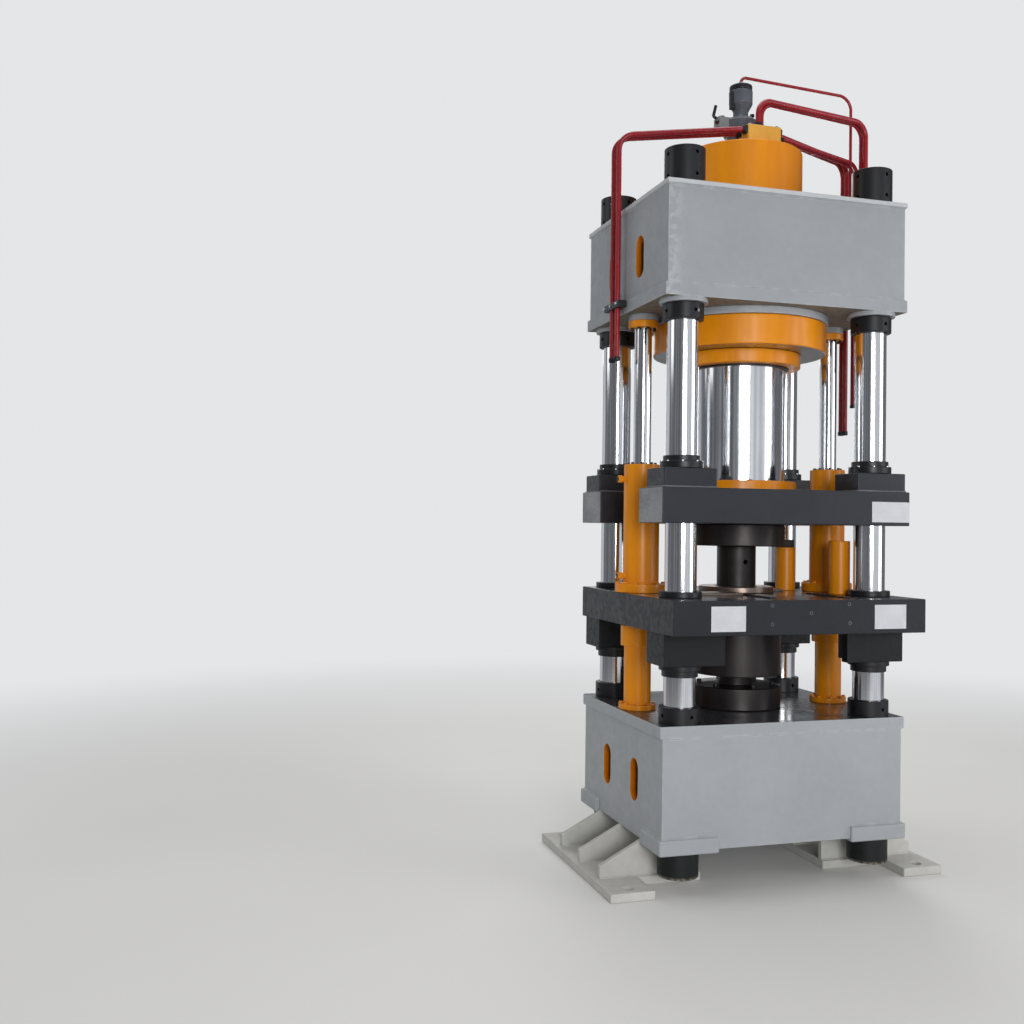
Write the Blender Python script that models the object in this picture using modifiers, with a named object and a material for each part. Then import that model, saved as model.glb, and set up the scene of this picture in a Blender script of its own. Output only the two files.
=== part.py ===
"""Four-column hydraulic forming press with a sliding beam and a floating platen.

Units are metres and +Z is up. The floor is z = 0. The press's own vertical axis stands at
x = 0, y = PRESS_AXIS_Y, which puts the world's origin under the middle of the whole outline.
The front of the press faces -Y.
"""
import math

import bmesh
import bpy
from mathutils import Matrix
from mathutils import Vector

# Fits and fine edges
GAP = 0.0003
CUT_OVERRUN = 0.010
WELD_OVERLAP = 0.008
MERGE_DISTANCE = 0.00005
PLATE_EDGE = 0.004
BEAM_EDGE = 0.006
TURNED_EDGE = 0.004

# Columns
COLUMN_SPACING_X = 1.020
COLUMN_SPACING_Y = 0.828
COLUMN_DIAMETER = 0.150
COLUMN_END_RECESS = 0.008

# Nuts on the columns
NUT_DIAMETER = 0.194
CROWN_NUT_HEIGHT = 0.170
LOCK_NUT_HEIGHT = 0.078
BED_NUT_HEIGHT = 0.079
BASE_NUT_HEIGHT = 0.120
TOMMY_HOLE_DIAMETER = 0.020
TOMMY_HOLE_DEPTH = 0.018
CROWN_NUT_HOLE_INSET = 0.034
NUT_SEAT_CLEARANCE = 0.002
NUT_SEAT_DEPTH = 0.002

# Bed, a welded box with a thicker top plate and pads round its lower corners
BED_UNDERSIDE = 0.210
BED_WIDTH = 1.270
BED_DEPTH = 1.015
BED_BOX_HEIGHT = 0.520
BED_PLATE_WIDTH = 1.297
BED_PLATE_DEPTH = 1.022
BED_PLATE_THICKNESS = 0.056
CORNER_PAD_WIDTH = 0.303
CORNER_PAD_DEPTH = 0.237
CORNER_PAD_PROUD = 0.018
CORNER_PAD_DROP = 0.015
CORNER_PAD_HEIGHT = 0.075
CORNER_PAD_EDGE = 0.012

# Obround hand slots, deep pockets in the sides of the bed and the crown
SLOT_WIDTH = 0.095
SLOT_HEIGHT = 0.206
SLOT_SPACING = 0.356
BED_SLOT_MIDDLE = 0.264
SLOT_DEPTH = 0.250

# Feet
FOOT_REACH = 0.8785
FOOT_LENGTH = 1.010
FOOT_STRIP_WIDTH = 0.2175
FOOT_TONGUE_REACH = 0.542
FOOT_TONGUE_LENGTH = 0.600
FOOT_THICKNESS = 0.042
FOOT_EDGE = 0.006
RIB_SPACING = 0.270
RIB_THICKNESS = 0.030
RIB_TIP_HEIGHT = 0.057
RIB_TIP_INSET = 0.028
ANCHOR_HOLE_DIAMETER = 0.056
ANCHOR_HOLE_INSET = 0.062

# Crown, a welded box with a thin top plate and a thicker bottom plate
DAYLIGHT = 1.984
CROWN_WIDTH = 1.268
CROWN_DEPTH = 1.022
CROWN_BOX_HEIGHT = 0.456
CROWN_TOP_WIDTH = 1.284
CROWN_TOP_DEPTH = 1.042
CROWN_TOP_THICKNESS = 0.024
CROWN_FLOOR_WIDTH = 1.293
CROWN_FLOOR_DEPTH = 1.035
CROWN_FLOOR_THICKNESS = 0.060
CROWN_SLOT_MIDDLE = 0.192
COLUMN_BOSS_DIAMETER = 0.230
COLUMN_BOSS_HEIGHT = 0.020
CYLINDER_SEAT_DIAMETER = 0.900
CYLINDER_SEAT_HEIGHT = 0.034

# Main cylinder and ram
CYLINDER_DIAMETER = 0.630
CYLINDER_RISE = 0.315
CYLINDER_HEAD = 0.080
CYLINDER_FLANGE_DIAMETER = 0.880
CYLINDER_FLANGE_THICKNESS = 0.146
CYLINDER_EDGE = 0.012
GLAND_DIAMETER = 0.628
GLAND_THICKNESS = 0.068
RAM_DIAMETER = 0.478
RAM_FREE_LENGTH = 0.520
RAM_FLANGE_DIAMETER = 0.594
RAM_FLANGE_THICKNESS = 0.052

# Slide beam, cut away at both sides to clear the lift cylinders
SLIDE_HEIGHT_ABOVE_BED = 0.934
SLIDE_WIDTH = 1.317
SLIDE_DEPTH = 1.060
SLIDE_THICKNESS = 0.166
SLIDE_NOTCH_LENGTH = 0.514
SLIDE_NOTCH_DEPTH = 0.262
SLIDE_PAD_WIDTH = 0.268
SLIDE_PAD_DEPTH = 0.200
SLIDE_PAD_HEIGHT = 0.090
BUSH_DIAMETER = 0.176
BUSH_FLANGE_DIAMETER = 0.204
BUSH_FLANGE_THICKNESS = 0.033
BUSH_COLLAR_HEIGHT = 0.027

# Upper tooling
UPPER_DIE_DIAMETER = 0.490
UPPER_DIE_THICKNESS = 0.110
STEM_DIAMETER = 0.198
STEM_LENGTH = 0.215
STEM_HOLE_DIAMETER = 0.026
STEM_HOLE_DROP = 0.082

# Floating platen
PLATEN_HEIGHT_ABOVE_BED = 0.426
PLATEN_WIDTH = 1.312
PLATEN_FRONT = 0.660
PLATEN_BACK = 0.520
PLATEN_THICKNESS = 0.160
PLATEN_BOSS_OUTWARD = 0.1255
PLATEN_BOSS_INWARD = 0.107
PLATEN_BOSS_DEPTH = 0.200
PLATEN_BOSS_HEIGHT = 0.155
PLATEN_WING_LENGTH = 0.0785
PLATEN_WING_THICKNESS = 0.050
LOWER_BUSH_DIAMETER = 0.170
LOWER_BUSH_HEIGHT = 0.054
LOWER_BUSH_FLANGE_DIAMETER = 0.197
LOWER_BUSH_FLANGE_HEIGHT = 0.024
WIPER_DIAMETER = 0.200
WIPER_HEIGHT = 0.028
SLEEVE_DIAMETER = 0.456
SLEEVE_LENGTH = 0.257
SLEEVE_BORE = 0.250

# Tooling on the platen and on the bed
DIE_RING_DIAMETER = 0.380
DIE_RING_BORE = 0.220
DIE_RING_THICKNESS = 0.030
STOP_POST_DIAMETER = 0.104
STOP_POST_CLEARANCE = 0.078
RIGHT_POST_X = 0.4325
RIGHT_POST_Y = -0.275
BACK_POST_X = 0.348
BACK_POST_Y = 0.104
POST_HEAD_WIDTH = 0.090
POST_HEAD_HEIGHT = 0.040
POST_HEAD_OFFSET = 0.018
BOLSTER_DIAMETER = 0.456
BOLSTER_THICKNESS = 0.110
LOWER_PUNCH_DIAMETER = 0.181
LOWER_PUNCH_LENGTH = 0.290
TOOL_EDGE = 0.008

# Lift cylinders, which stand on the platen and hang from the crown by their rods
LIFT_CLEARANCE = 0.009
LIFT_BOSS_HEIGHT = 0.030
LIFT_TUBE_DIAMETER = 0.180
LIFT_TUBE_BORE = 0.140
LIFT_TUBE_LENGTH = 0.643
LIFT_TUBE_LIP = 0.050
LIFT_FLANGE_DIAMETER = 0.260
LIFT_FLANGE_THICKNESS = 0.044
LIFT_ROD_DIAMETER = 0.088
LIFT_ROD_CAP_DIAMETER = 0.152
LIFT_ROD_CAP_THICKNESS = 0.034
LIFT_PISTON_THICKNESS = 0.060
LIFT_PISTON_HEIGHT = 0.200
PORT_DIAMETER = 0.036
PORT_LENGTH = 0.040
PORT_INSET = 0.075

# Float cylinders, which stand on the bed and carry the platen on their rods
FLOAT_X = 0.548
FLOAT_TUBE_DIAMETER = 0.136
FLOAT_TUBE_BORE = 0.110
FLOAT_TUBE_LIP = 0.045
FLOAT_FLANGE_DIAMETER = 0.187
FLOAT_FLANGE_THICKNESS = 0.026
FLOAT_COLLAR_DIAMETER = 0.171
FLOAT_COLLAR_HEIGHT = 0.102
FLOAT_CLEARANCE = 0.006
FLOAT_ROD_DIAMETER = 0.090
FLOAT_PISTON_THICKNESS = 0.050

# Manifold block and prefill valve on the cylinder head
BLOCK_WIDTH = 0.185
BLOCK_DEPTH = 0.110
BLOCK_HEIGHT = 0.085
BLOCK_X = -0.008
BLOCK_Y = -0.215
BLOCK_EDGE = 0.006
VALVE_NECK_DIAMETER = 0.150
VALVE_NECK_HEIGHT = 0.120
VALVE_BASE_DIAMETER = 0.176
VALVE_BASE_HEIGHT = 0.090
VALVE_WAIST_DIAMETER = 0.078
VALVE_WAIST_HEIGHT = 0.035
VALVE_TAPER_HEIGHT = 0.040
VALVE_BODY_DIAMETER = 0.122
VALVE_BODY_HEIGHT = 0.068
VALVE_CAP_HEIGHT = 0.030
VALVE_EDGE = 0.007

# Pipes
PIPE_DIAMETER = 0.027
THIN_PIPE_DIAMETER = 0.019
PILOT_PIPE_DIAMETER = 0.016
PIPE_BEND_RADIUS = 0.075
PIPE_STANDOFF = 0.026
PIPE_STUB = 0.030
PILOT_RISE = 0.050
PILOT_BEND_RADIUS = 0.030
PILOT_FALL = 0.018
LEFT_PIPE_DROP = 1.146
RIGHT_PIPE_DROP = 1.480
HIDDEN_PIPE_DROP = 1.300
PILOT_PIPE_DROP = 1.000
PIPE_PORT_SPACING = 0.066
PIPE_CLEARANCE = 0.005
SIDE_PIPE_MIDDLE = 0.047
OVER_PIPE_RISE = 0.142
RIGHT_SIDE_FIRST_Y = -0.117
RIGHT_SIDE_SPACING = 0.034
THIN_PIPE_PLACE = 2
PILOT_PIPE_PLACE = 4
RIGHT_PIPE_PLACE = 5
CLAMP_LENGTH = 0.190
CLAMP_HEIGHT = 0.034
CLAMP_OUTSIDE = 0.010
CLAMP_DROP = 0.030

# Facets of turned pieces
COLUMN_SEGMENTS = 16
LARGE_SEGMENTS = 28
SMALL_SEGMENTS = 12
HOLE_SEGMENTS = 6
CORNER_STEPS = 3
PIPE_RESOLUTION = 2

# Heights and half sizes that follow from the sizes above
BED_TOP = BED_UNDERSIDE + BED_BOX_HEIGHT + BED_PLATE_THICKNESS
CROWN_UNDERSIDE = BED_TOP + DAYLIGHT
CROWN_BOX_BOTTOM = CROWN_UNDERSIDE + CROWN_FLOOR_THICKNESS
CROWN_BOX_TOP = CROWN_BOX_BOTTOM + CROWN_BOX_HEIGHT
CROWN_TOP = CROWN_BOX_TOP + CROWN_TOP_THICKNESS
PAD_UNDERSIDE = BED_UNDERSIDE - CORNER_PAD_DROP
COLUMN_X = COLUMN_SPACING_X / 2
COLUMN_Y = COLUMN_SPACING_Y / 2
COLUMN_RADIUS = COLUMN_DIAMETER / 2
NUT_RADIUS = NUT_DIAMETER / 2
CYLINDER_TOP = CROWN_TOP + CYLINDER_RISE
CYLINDER_FLANGE_TOP = CROWN_UNDERSIDE - CYLINDER_SEAT_HEIGHT - GAP
CYLINDER_FLANGE_BOTTOM = CYLINDER_FLANGE_TOP - CYLINDER_FLANGE_THICKNESS
RAM_RADIUS = RAM_DIAMETER / 2
SLIDE_UNDERSIDE = BED_TOP + SLIDE_HEIGHT_ABOVE_BED
SLIDE_TOP = SLIDE_UNDERSIDE + SLIDE_THICKNESS
SLIDE_PAD_TOP = SLIDE_TOP + SLIDE_PAD_HEIGHT
PLATEN_UNDERSIDE = BED_TOP + PLATEN_HEIGHT_ABOVE_BED
PLATEN_TOP = PLATEN_UNDERSIDE + PLATEN_THICKNESS
STEM_BOTTOM = SLIDE_UNDERSIDE - GAP - UPPER_DIE_THICKNESS - STEM_LENGTH
BLOCK_BOTTOM = CYLINDER_TOP + GAP
BLOCK_TOP = BLOCK_BOTTOM + BLOCK_HEIGHT
PIPE_RADIUS = PIPE_DIAMETER / 2
VALVE_BASE_TOP = CYLINDER_TOP + GAP + VALVE_NECK_HEIGHT + VALVE_BASE_HEIGHT
VALVE_BODY_FOOT = VALVE_BASE_TOP + VALVE_WAIST_HEIGHT + VALVE_TAPER_HEIGHT
VALVE_TOP = VALVE_BODY_FOOT + VALVE_BODY_HEIGHT + VALVE_CAP_HEIGHT
LIFT_CAP_RADIUS = LIFT_ROD_CAP_DIAMETER / 2
LIFT_X = max(CYLINDER_SEAT_DIAMETER, CYLINDER_FLANGE_DIAMETER) / 2 + LIFT_CLEARANCE + LIFT_CAP_RADIUS
SIDE_PIPE_X = max(CROWN_FLOOR_WIDTH / 2 + PIPE_STANDOFF,
                  LIFT_X + LIFT_CAP_RADIUS + PIPE_RADIUS + PIPE_CLEARANCE)
PRESS_AXIS_Y = (PLATEN_FRONT - SLIDE_DEPTH / 2) / 2

CORNERS = {
    "front_left": (-1, -1),
    "front_right": (1, -1),
    "back_left": (-1, 1),
    "back_right": (1, 1),
}
SIDES = {"left": -1, "right": 1}

# Name: colour, roughness, metallic
FINISHES = {
    "frame_grey": ((0.33, 0.35, 0.36), 0.42, 0.0),
    "slide_slate": ((0.045, 0.050, 0.062), 0.45, 0.0),
    "cylinder_orange": ((0.80, 0.25, 0.008), 0.35, 0.0),
    "chrome_steel": ((0.62, 0.64, 0.66), 0.12, 1.0),
    "blackened_steel": ((0.022, 0.022, 0.025), 0.38, 0.6),
    "tool_steel": ((0.070, 0.068, 0.070), 0.40, 0.8),
    "valve_grey": ((0.16, 0.18, 0.21), 0.40, 0.5),
    "pipe_red": ((0.38, 0.018, 0.028), 0.32, 0.0),
}


def clear_scene():
    """Removes whatever objects the file starts with."""
    for thing in list(bpy.data.objects):
        bpy.data.objects.remove(thing, do_unlink=True)


def new_collection(name):
    """Adds a collection to the scene."""
    group = bpy.data.collections.new(name)
    bpy.context.scene.collection.children.link(group)
    return group


def new_material(name, colour, roughness, metallic):
    """Makes a Principled BSDF material."""
    material = bpy.data.materials.new(name)
    material.use_nodes = True
    shader = material.node_tree.nodes["Principled BSDF"]
    shader.inputs["Base Color"].default_value = (*colour, 1.0)
    shader.inputs["Roughness"].default_value = roughness
    shader.inputs["Metallic"].default_value = metallic
    material.diffuse_color = (*colour, 1.0)
    return material


class Workshop:
    """Holds the collections and the bodies that the pieces are made for."""

    def __init__(self):
        self.parts = new_collection("hydraulic_press")
        self.cutters = new_collection("press_cutters")
        self.bodies = {name: self.new_body(name) for name in ("frame_body", "slide_body", "platen_body")}

    def new_body(self, name):
        """Adds the empty that carries one rigid body, on the press's vertical axis."""
        empty = bpy.data.objects.new(name, None)
        empty.location = (0, PRESS_AXIS_Y, 0)
        self.parts.objects.link(empty)
        return empty

    def place(self, name, mesh, body, finish, location):
        """Links a finished piece under its body."""
        thing = bpy.data.objects.new(name, mesh)
        thing.parent = self.bodies[body]
        thing.location = location
        self.parts.objects.link(thing)
        mesh.materials.append(new_material(name + "_" + finish, *FINISHES[finish]))
        return thing

    def tool(self, name, mesh, owner):
        """Links a hidden shape in its owner's space, for a Boolean on it."""
        thing = bpy.data.objects.new(name, mesh)
        thing.parent = owner.parent
        thing.location = owner.location
        thing.display_type = "WIRE"
        thing.hide_render = True
        self.cutters.objects.link(thing)
        return thing


def to_mesh(name, shape):
    """Turns a bmesh into a mesh with its faces pointing out."""
    bmesh.ops.recalc_face_normals(shape, faces=shape.faces)
    mesh = bpy.data.meshes.new(name)
    shape.to_mesh(mesh)
    shape.free()
    return mesh


def shade_round(mesh):
    """Shades a round piece smooth, with its sharp edges kept."""
    mesh.shade_smooth()
    mesh.set_sharp_from_angle(angle=math.radians(35))


def add_block(shape, size, centre):
    """Adds a box to a bmesh."""
    matrix = Matrix.Translation(centre) @ Matrix.Diagonal((*size, 1.0))
    bmesh.ops.create_cube(shape, size=1.0, matrix=matrix)


def add_span(shape, low, high):
    """Adds a box between two corners to a bmesh."""
    low = Vector(low)
    high = Vector(high)
    add_block(shape, high - low, (low + high) / 2)


def add_rod(shape, diameter, bottom, top, x=0.0, y=0.0, segments=COLUMN_SEGMENTS):
    """Adds an upright cylinder to a bmesh."""
    place = Matrix.Translation((x, y, (bottom + top) / 2))
    bmesh.ops.create_cone(shape, cap_ends=True, segments=segments, radius1=diameter / 2, radius2=diameter / 2,
                          depth=top - bottom, matrix=place)


def add_plate(shape, outline, bottom, top):
    """Adds a flat outline, extruded upwards, to a bmesh."""
    face = shape.faces.new([shape.verts.new((x, y, bottom)) for x, y in outline])
    raised = bmesh.ops.extrude_face_region(shape, geom=[face])["geom"]
    tops = [item for item in raised if isinstance(item, bmesh.types.BMVert)]
    bmesh.ops.translate(shape, verts=tops, vec=(0, 0, top - bottom))


def add_side_plate(shape, outline, start, length):
    """Adds a flat (y, z) outline, extruded along X from a start, to a bmesh."""
    face = shape.faces.new([shape.verts.new((start, y, z)) for y, z in outline])
    raised = bmesh.ops.extrude_face_region(shape, geom=[face])["geom"]
    ends = [item for item in raised if isinstance(item, bmesh.types.BMVert)]
    bmesh.ops.translate(shape, verts=ends, vec=(length, 0, 0))


def box_mesh(name, size, centre):
    """Makes a mesh of one box."""
    shape = bmesh.new()
    add_block(shape, size, centre)
    return to_mesh(name, shape)


def add_bevel(thing, width, segments=1):
    """Breaks the sharp edges of a piece."""
    bevel = thing.modifiers.new("edges", "BEVEL")
    bevel.width = width
    bevel.segments = segments
    bevel.limit_method = "ANGLE"
    bevel.angle_limit = math.radians(40)


def combine(thing, tools, operation):
    """Joins or cuts a piece with hidden shapes."""
    for tool in tools:
        boolean = thing.modifiers.new(operation.lower(), "BOOLEAN")
        boolean.operation = operation
        boolean.solver = "EXACT"
        boolean.object = tool


def turned_mesh(name, profile, closed):
    """Makes the outline of a turned piece from (radius, height) pairs.

    The outline runs down the outer side. A closed outline makes a ring, an open one starts and
    ends on the axis.
    """
    shape = bmesh.new()
    points = [shape.verts.new((radius, 0, height)) for radius, height in profile]
    pairs = list(zip(points, points[1:]))
    if closed:
        pairs.append((points[-1], points[0]))
    for first, second in pairs:
        shape.edges.new((first, second))
    mesh = bpy.data.meshes.new(name)
    shape.to_mesh(mesh)
    shape.free()
    return mesh


def spin(thing, segments):
    """Turns an outline about its own upright axis."""
    screw = thing.modifiers.new("turned", "SCREW")
    screw.axis = "Z"
    screw.angle = math.tau
    screw.steps = segments
    screw.render_steps = segments
    screw.use_merge_vertices = True
    screw.merge_threshold = MERGE_DISTANCE
    screw.use_smooth_shade = True


def turned_piece(shop, name, profile, body, finish, location, closed=True, segments=COLUMN_SEGMENTS):
    """Makes a turned piece from its outline."""
    thing = shop.place(name, turned_mesh(name, profile, closed), body, finish, location)
    spin(thing, segments)
    return thing


def plain_ring(outer, inner, height):
    """Outline of a ring with square edges, from its foot at zero."""
    return [(inner, height), (outer, height), (outer, 0), (inner, 0)]


def ring_profile(outer, inner, height, edge):
    """Outline of a plain ring with chamfered outer edges, from its foot at zero."""
    return [
        (inner, height),
        (outer - edge, height),
        (outer, height - edge),
        (outer, edge),
        (outer - edge, 0),
        (inner, 0),
    ]


def column_places():
    """Gives each column's name and plan position."""
    return {name: (x * COLUMN_X, y * COLUMN_Y) for name, (x, y) in CORNERS.items()}


def column_bores(shop, owner, bottom, top):
    """Cutter for the four column holes of a plate."""
    shape = bmesh.new()
    for x, y in column_places().values():
        add_rod(shape, COLUMN_DIAMETER + 2 * GAP, bottom, top, x, y)
    return shop.tool(owner.name + "_column_bores", to_mesh("column_bores", shape), owner)


def slot_outline(along, middle):
    """Outline of an upright slot with round ends, as (y, z) pairs."""
    radius = SLOT_WIDTH / 2
    straight = SLOT_HEIGHT / 2 - radius
    half_turn = SMALL_SEGMENTS // 2
    outline = []
    for end in (1, -1):
        for step in range(half_turn + 1):
            angle = step * math.pi / half_turn
            rise = straight + radius * math.sin(angle)
            outline.append((along + end * radius * math.cos(angle), middle + end * rise))
    return outline


def make_slots(shop, owner, middle, wall_x):
    """Cuts the obround slots into both sides of a welded box."""
    shape = bmesh.new()
    for side in SIDES.values():
        for along in (-SLOT_SPACING / 2, SLOT_SPACING / 2):
            add_side_plate(shape, slot_outline(along, middle), side * (wall_x + CUT_OVERRUN),
                           -side * (SLOT_DEPTH + CUT_OVERRUN))
    slots = shop.tool(owner.name + "_side_slots", to_mesh("side_slots", shape), owner)
    combine(owner, (slots,), "DIFFERENCE")


def make_bed(shop):
    """Welded bed with its top plate, nut seats, corner pads and side slots."""
    body = box_mesh("bed_box", (BED_WIDTH, BED_DEPTH, BED_BOX_HEIGHT + WELD_OVERLAP),
                    (0, 0, BED_UNDERSIDE + (BED_BOX_HEIGHT + WELD_OVERLAP) / 2))
    bed = shop.place("bed_frame", body, "frame_body", "frame_grey", (0, 0, 0))
    add_bevel(bed, PLATE_EDGE)
    plate_box = box_mesh("bed_plate", (BED_PLATE_WIDTH, BED_PLATE_DEPTH, BED_PLATE_THICKNESS),
                         (0, 0, BED_TOP - BED_PLATE_THICKNESS / 2))
    plate = shop.tool("bed_plate", plate_box, bed)
    add_bevel(plate, PLATE_EDGE)
    pads = bmesh.new()
    pad_x = BED_WIDTH / 2 + CORNER_PAD_PROUD - CORNER_PAD_WIDTH / 2
    pad_y = BED_DEPTH / 2 + CORNER_PAD_PROUD - CORNER_PAD_DEPTH / 2
    for x, y in CORNERS.values():
        add_block(pads, (CORNER_PAD_WIDTH, CORNER_PAD_DEPTH, CORNER_PAD_HEIGHT),
                  (x * pad_x, y * pad_y, PAD_UNDERSIDE + CORNER_PAD_HEIGHT / 2))
    corner_pads = shop.tool("bed_corner_pads", to_mesh("corner_pads", pads), bed)
    add_bevel(corner_pads, CORNER_PAD_EDGE, 2)
    combine(bed, (plate, corner_pads), "UNION")
    bores = column_bores(shop, bed, PAD_UNDERSIDE - CUT_OVERRUN, BED_TOP + CUT_OVERRUN)
    seats = bmesh.new()
    seat = NUT_DIAMETER + 2 * NUT_SEAT_CLEARANCE
    for x, y in column_places().values():
        add_rod(seats, seat, BED_TOP - NUT_SEAT_DEPTH, BED_TOP + CUT_OVERRUN, x, y)
    nut_seats = shop.tool("bed_nut_seats", to_mesh("nut_seats", seats), bed)
    combine(bed, (bores, nut_seats), "DIFFERENCE")
    make_slots(shop, bed, BED_UNDERSIDE + BED_SLOT_MIDDLE, BED_WIDTH / 2)


def foot_outline(side):
    """Plan of a foot: a long strip outside the bed with a tongue that runs in under it."""
    outer = FOOT_REACH
    strip = FOOT_REACH - FOOT_STRIP_WIDTH
    inner = FOOT_REACH - FOOT_TONGUE_REACH
    end = FOOT_LENGTH / 2
    tongue = FOOT_TONGUE_LENGTH / 2
    points = [(outer, -end), (outer, end), (strip, end), (strip, tongue), (inner, tongue),
              (inner, -tongue), (strip, -tongue), (strip, -end)]
    return [(side * x, y) for x, y in points]


def plate_mesh(name, outline, bottom, top):
    """Makes a mesh of one flat outline, extruded upwards."""
    shape = bmesh.new()
    add_plate(shape, outline, bottom, top)
    return to_mesh(name, shape)


def rib_mesh(name, side):
    """Three upright ribs of a foot, each sloping from its tip up to the bed's underside."""
    shape = bmesh.new()
    tip = FOOT_REACH - RIB_TIP_INSET
    inner = FOOT_REACH - FOOT_TONGUE_REACH
    foot = FOOT_THICKNESS - WELD_OVERLAP
    top = BED_UNDERSIDE - GAP
    outline = [(tip, foot), (tip, FOOT_THICKNESS + RIB_TIP_HEIGHT), (BED_WIDTH / 2, top), (inner, top),
               (inner, foot)]
    for place in (-RIB_SPACING, 0, RIB_SPACING):
        front = place - RIB_THICKNESS / 2
        face = shape.faces.new([shape.verts.new((side * x, front, z)) for x, z in outline])
        raised = bmesh.ops.extrude_face_region(shape, geom=[face])["geom"]
        backs = [item for item in raised if isinstance(item, bmesh.types.BMVert)]
        bmesh.ops.translate(shape, verts=backs, vec=(0, RIB_THICKNESS, 0))
    return to_mesh(name, shape)


def make_feet(shop):
    """Two welded feet, each a plate with three ribs under the bed's side."""
    for name, side in SIDES.items():
        mesh = plate_mesh("foot_plate", foot_outline(side), 0, FOOT_THICKNESS)
        foot = shop.place("foot_" + name, mesh, "frame_body", "frame_grey", (0, 0, 0))
        add_bevel(foot, FOOT_EDGE)
        ribs = shop.tool("foot_ribs_" + name, rib_mesh("foot_ribs", side), foot)
        holes = bmesh.new()
        hole_x = side * (FOOT_REACH - FOOT_STRIP_WIDTH / 2)
        for end in (-1, 1):
            add_rod(holes, ANCHOR_HOLE_DIAMETER, -CUT_OVERRUN, FOOT_THICKNESS + CUT_OVERRUN, hole_x,
                    end * (FOOT_LENGTH / 2 - ANCHOR_HOLE_INSET), SMALL_SEGMENTS)
        anchor_holes = shop.tool("foot_holes_" + name, to_mesh("foot_holes", holes), foot)
        combine(foot, (ribs,), "UNION")
        combine(foot, (anchor_holes,), "DIFFERENCE")


def make_columns(shop):
    """Four plain chromed columns, from the base nuts to the crown nuts."""
    bottom = PAD_UNDERSIDE - BASE_NUT_HEIGHT + COLUMN_END_RECESS
    top = CROWN_TOP + CROWN_NUT_HEIGHT - COLUMN_END_RECESS
    length = top - bottom
    radius = COLUMN_RADIUS
    profile = [(0, length), (radius - TURNED_EDGE, length), (radius, length - TURNED_EDGE),
               (radius, TURNED_EDGE), (radius - TURNED_EDGE, 0), (0, 0)]
    for name, (x, y) in column_places().items():
        turned_piece(shop, "column_" + name, profile, "frame_body", "chrome_steel", (x, y, bottom),
                     closed=False)


def tommy_holes(shop, owner, heights):
    """Cutter for the radial bar holes of a nut."""
    shape = bmesh.new()
    reach = TOMMY_HOLE_DEPTH + CUT_OVERRUN
    hole = TOMMY_HOLE_DIAMETER / 2
    middle = NUT_RADIUS - TOMMY_HOLE_DEPTH + reach / 2
    lying = Matrix.Rotation(math.pi / 2, 4, "Y")
    for height in heights:
        for quarter in range(4):
            turn = Matrix.Rotation(math.pi / COLUMN_SEGMENTS + quarter * math.pi / 2, 4, "Z")
            spot = turn @ Matrix.Translation((middle, 0, height)) @ lying
            bmesh.ops.create_cone(shape, cap_ends=True, segments=HOLE_SEGMENTS, radius1=hole, radius2=hole,
                                  depth=reach, matrix=spot)
    return shop.tool(owner.name + "_tommy_holes", to_mesh("tommy_holes", shape), owner)


def make_nuts(shop, prefix, bottom, profile, hole_heights):
    """Four round nuts at one level of the columns."""
    for name, (x, y) in column_places().items():
        nut = turned_piece(shop, prefix + name, profile, "frame_body", "blackened_steel", (x, y, bottom))
        if hole_heights:
            combine(nut, (tommy_holes(shop, nut, hole_heights),), "DIFFERENCE")


def make_all_nuts(shop):
    """Crown nuts, lock nuts under the crown, bed nuts and base nuts."""
    bore = COLUMN_RADIUS + GAP
    lock_bottom = CROWN_UNDERSIDE - COLUMN_BOSS_HEIGHT - GAP - LOCK_NUT_HEIGHT
    base_bottom = PAD_UNDERSIDE - GAP - BASE_NUT_HEIGHT
    crown_rows = (CROWN_NUT_HOLE_INSET, CROWN_NUT_HEIGHT - CROWN_NUT_HOLE_INSET)
    crown_ring = ring_profile(NUT_RADIUS, bore, CROWN_NUT_HEIGHT, TURNED_EDGE)
    make_nuts(shop, "crown_nut_", CROWN_TOP + GAP, crown_ring, crown_rows)
    make_nuts(shop, "lock_nut_", lock_bottom, plain_ring(NUT_RADIUS, bore, LOCK_NUT_HEIGHT),
              (LOCK_NUT_HEIGHT / 2,))
    make_nuts(shop, "bed_nut_", BED_TOP - NUT_SEAT_DEPTH + GAP, plain_ring(NUT_RADIUS, bore, BED_NUT_HEIGHT),
              (BED_NUT_HEIGHT / 2,))
    make_nuts(shop, "base_nut_", base_bottom, plain_ring(NUT_RADIUS, bore, BASE_NUT_HEIGHT), ())


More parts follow.
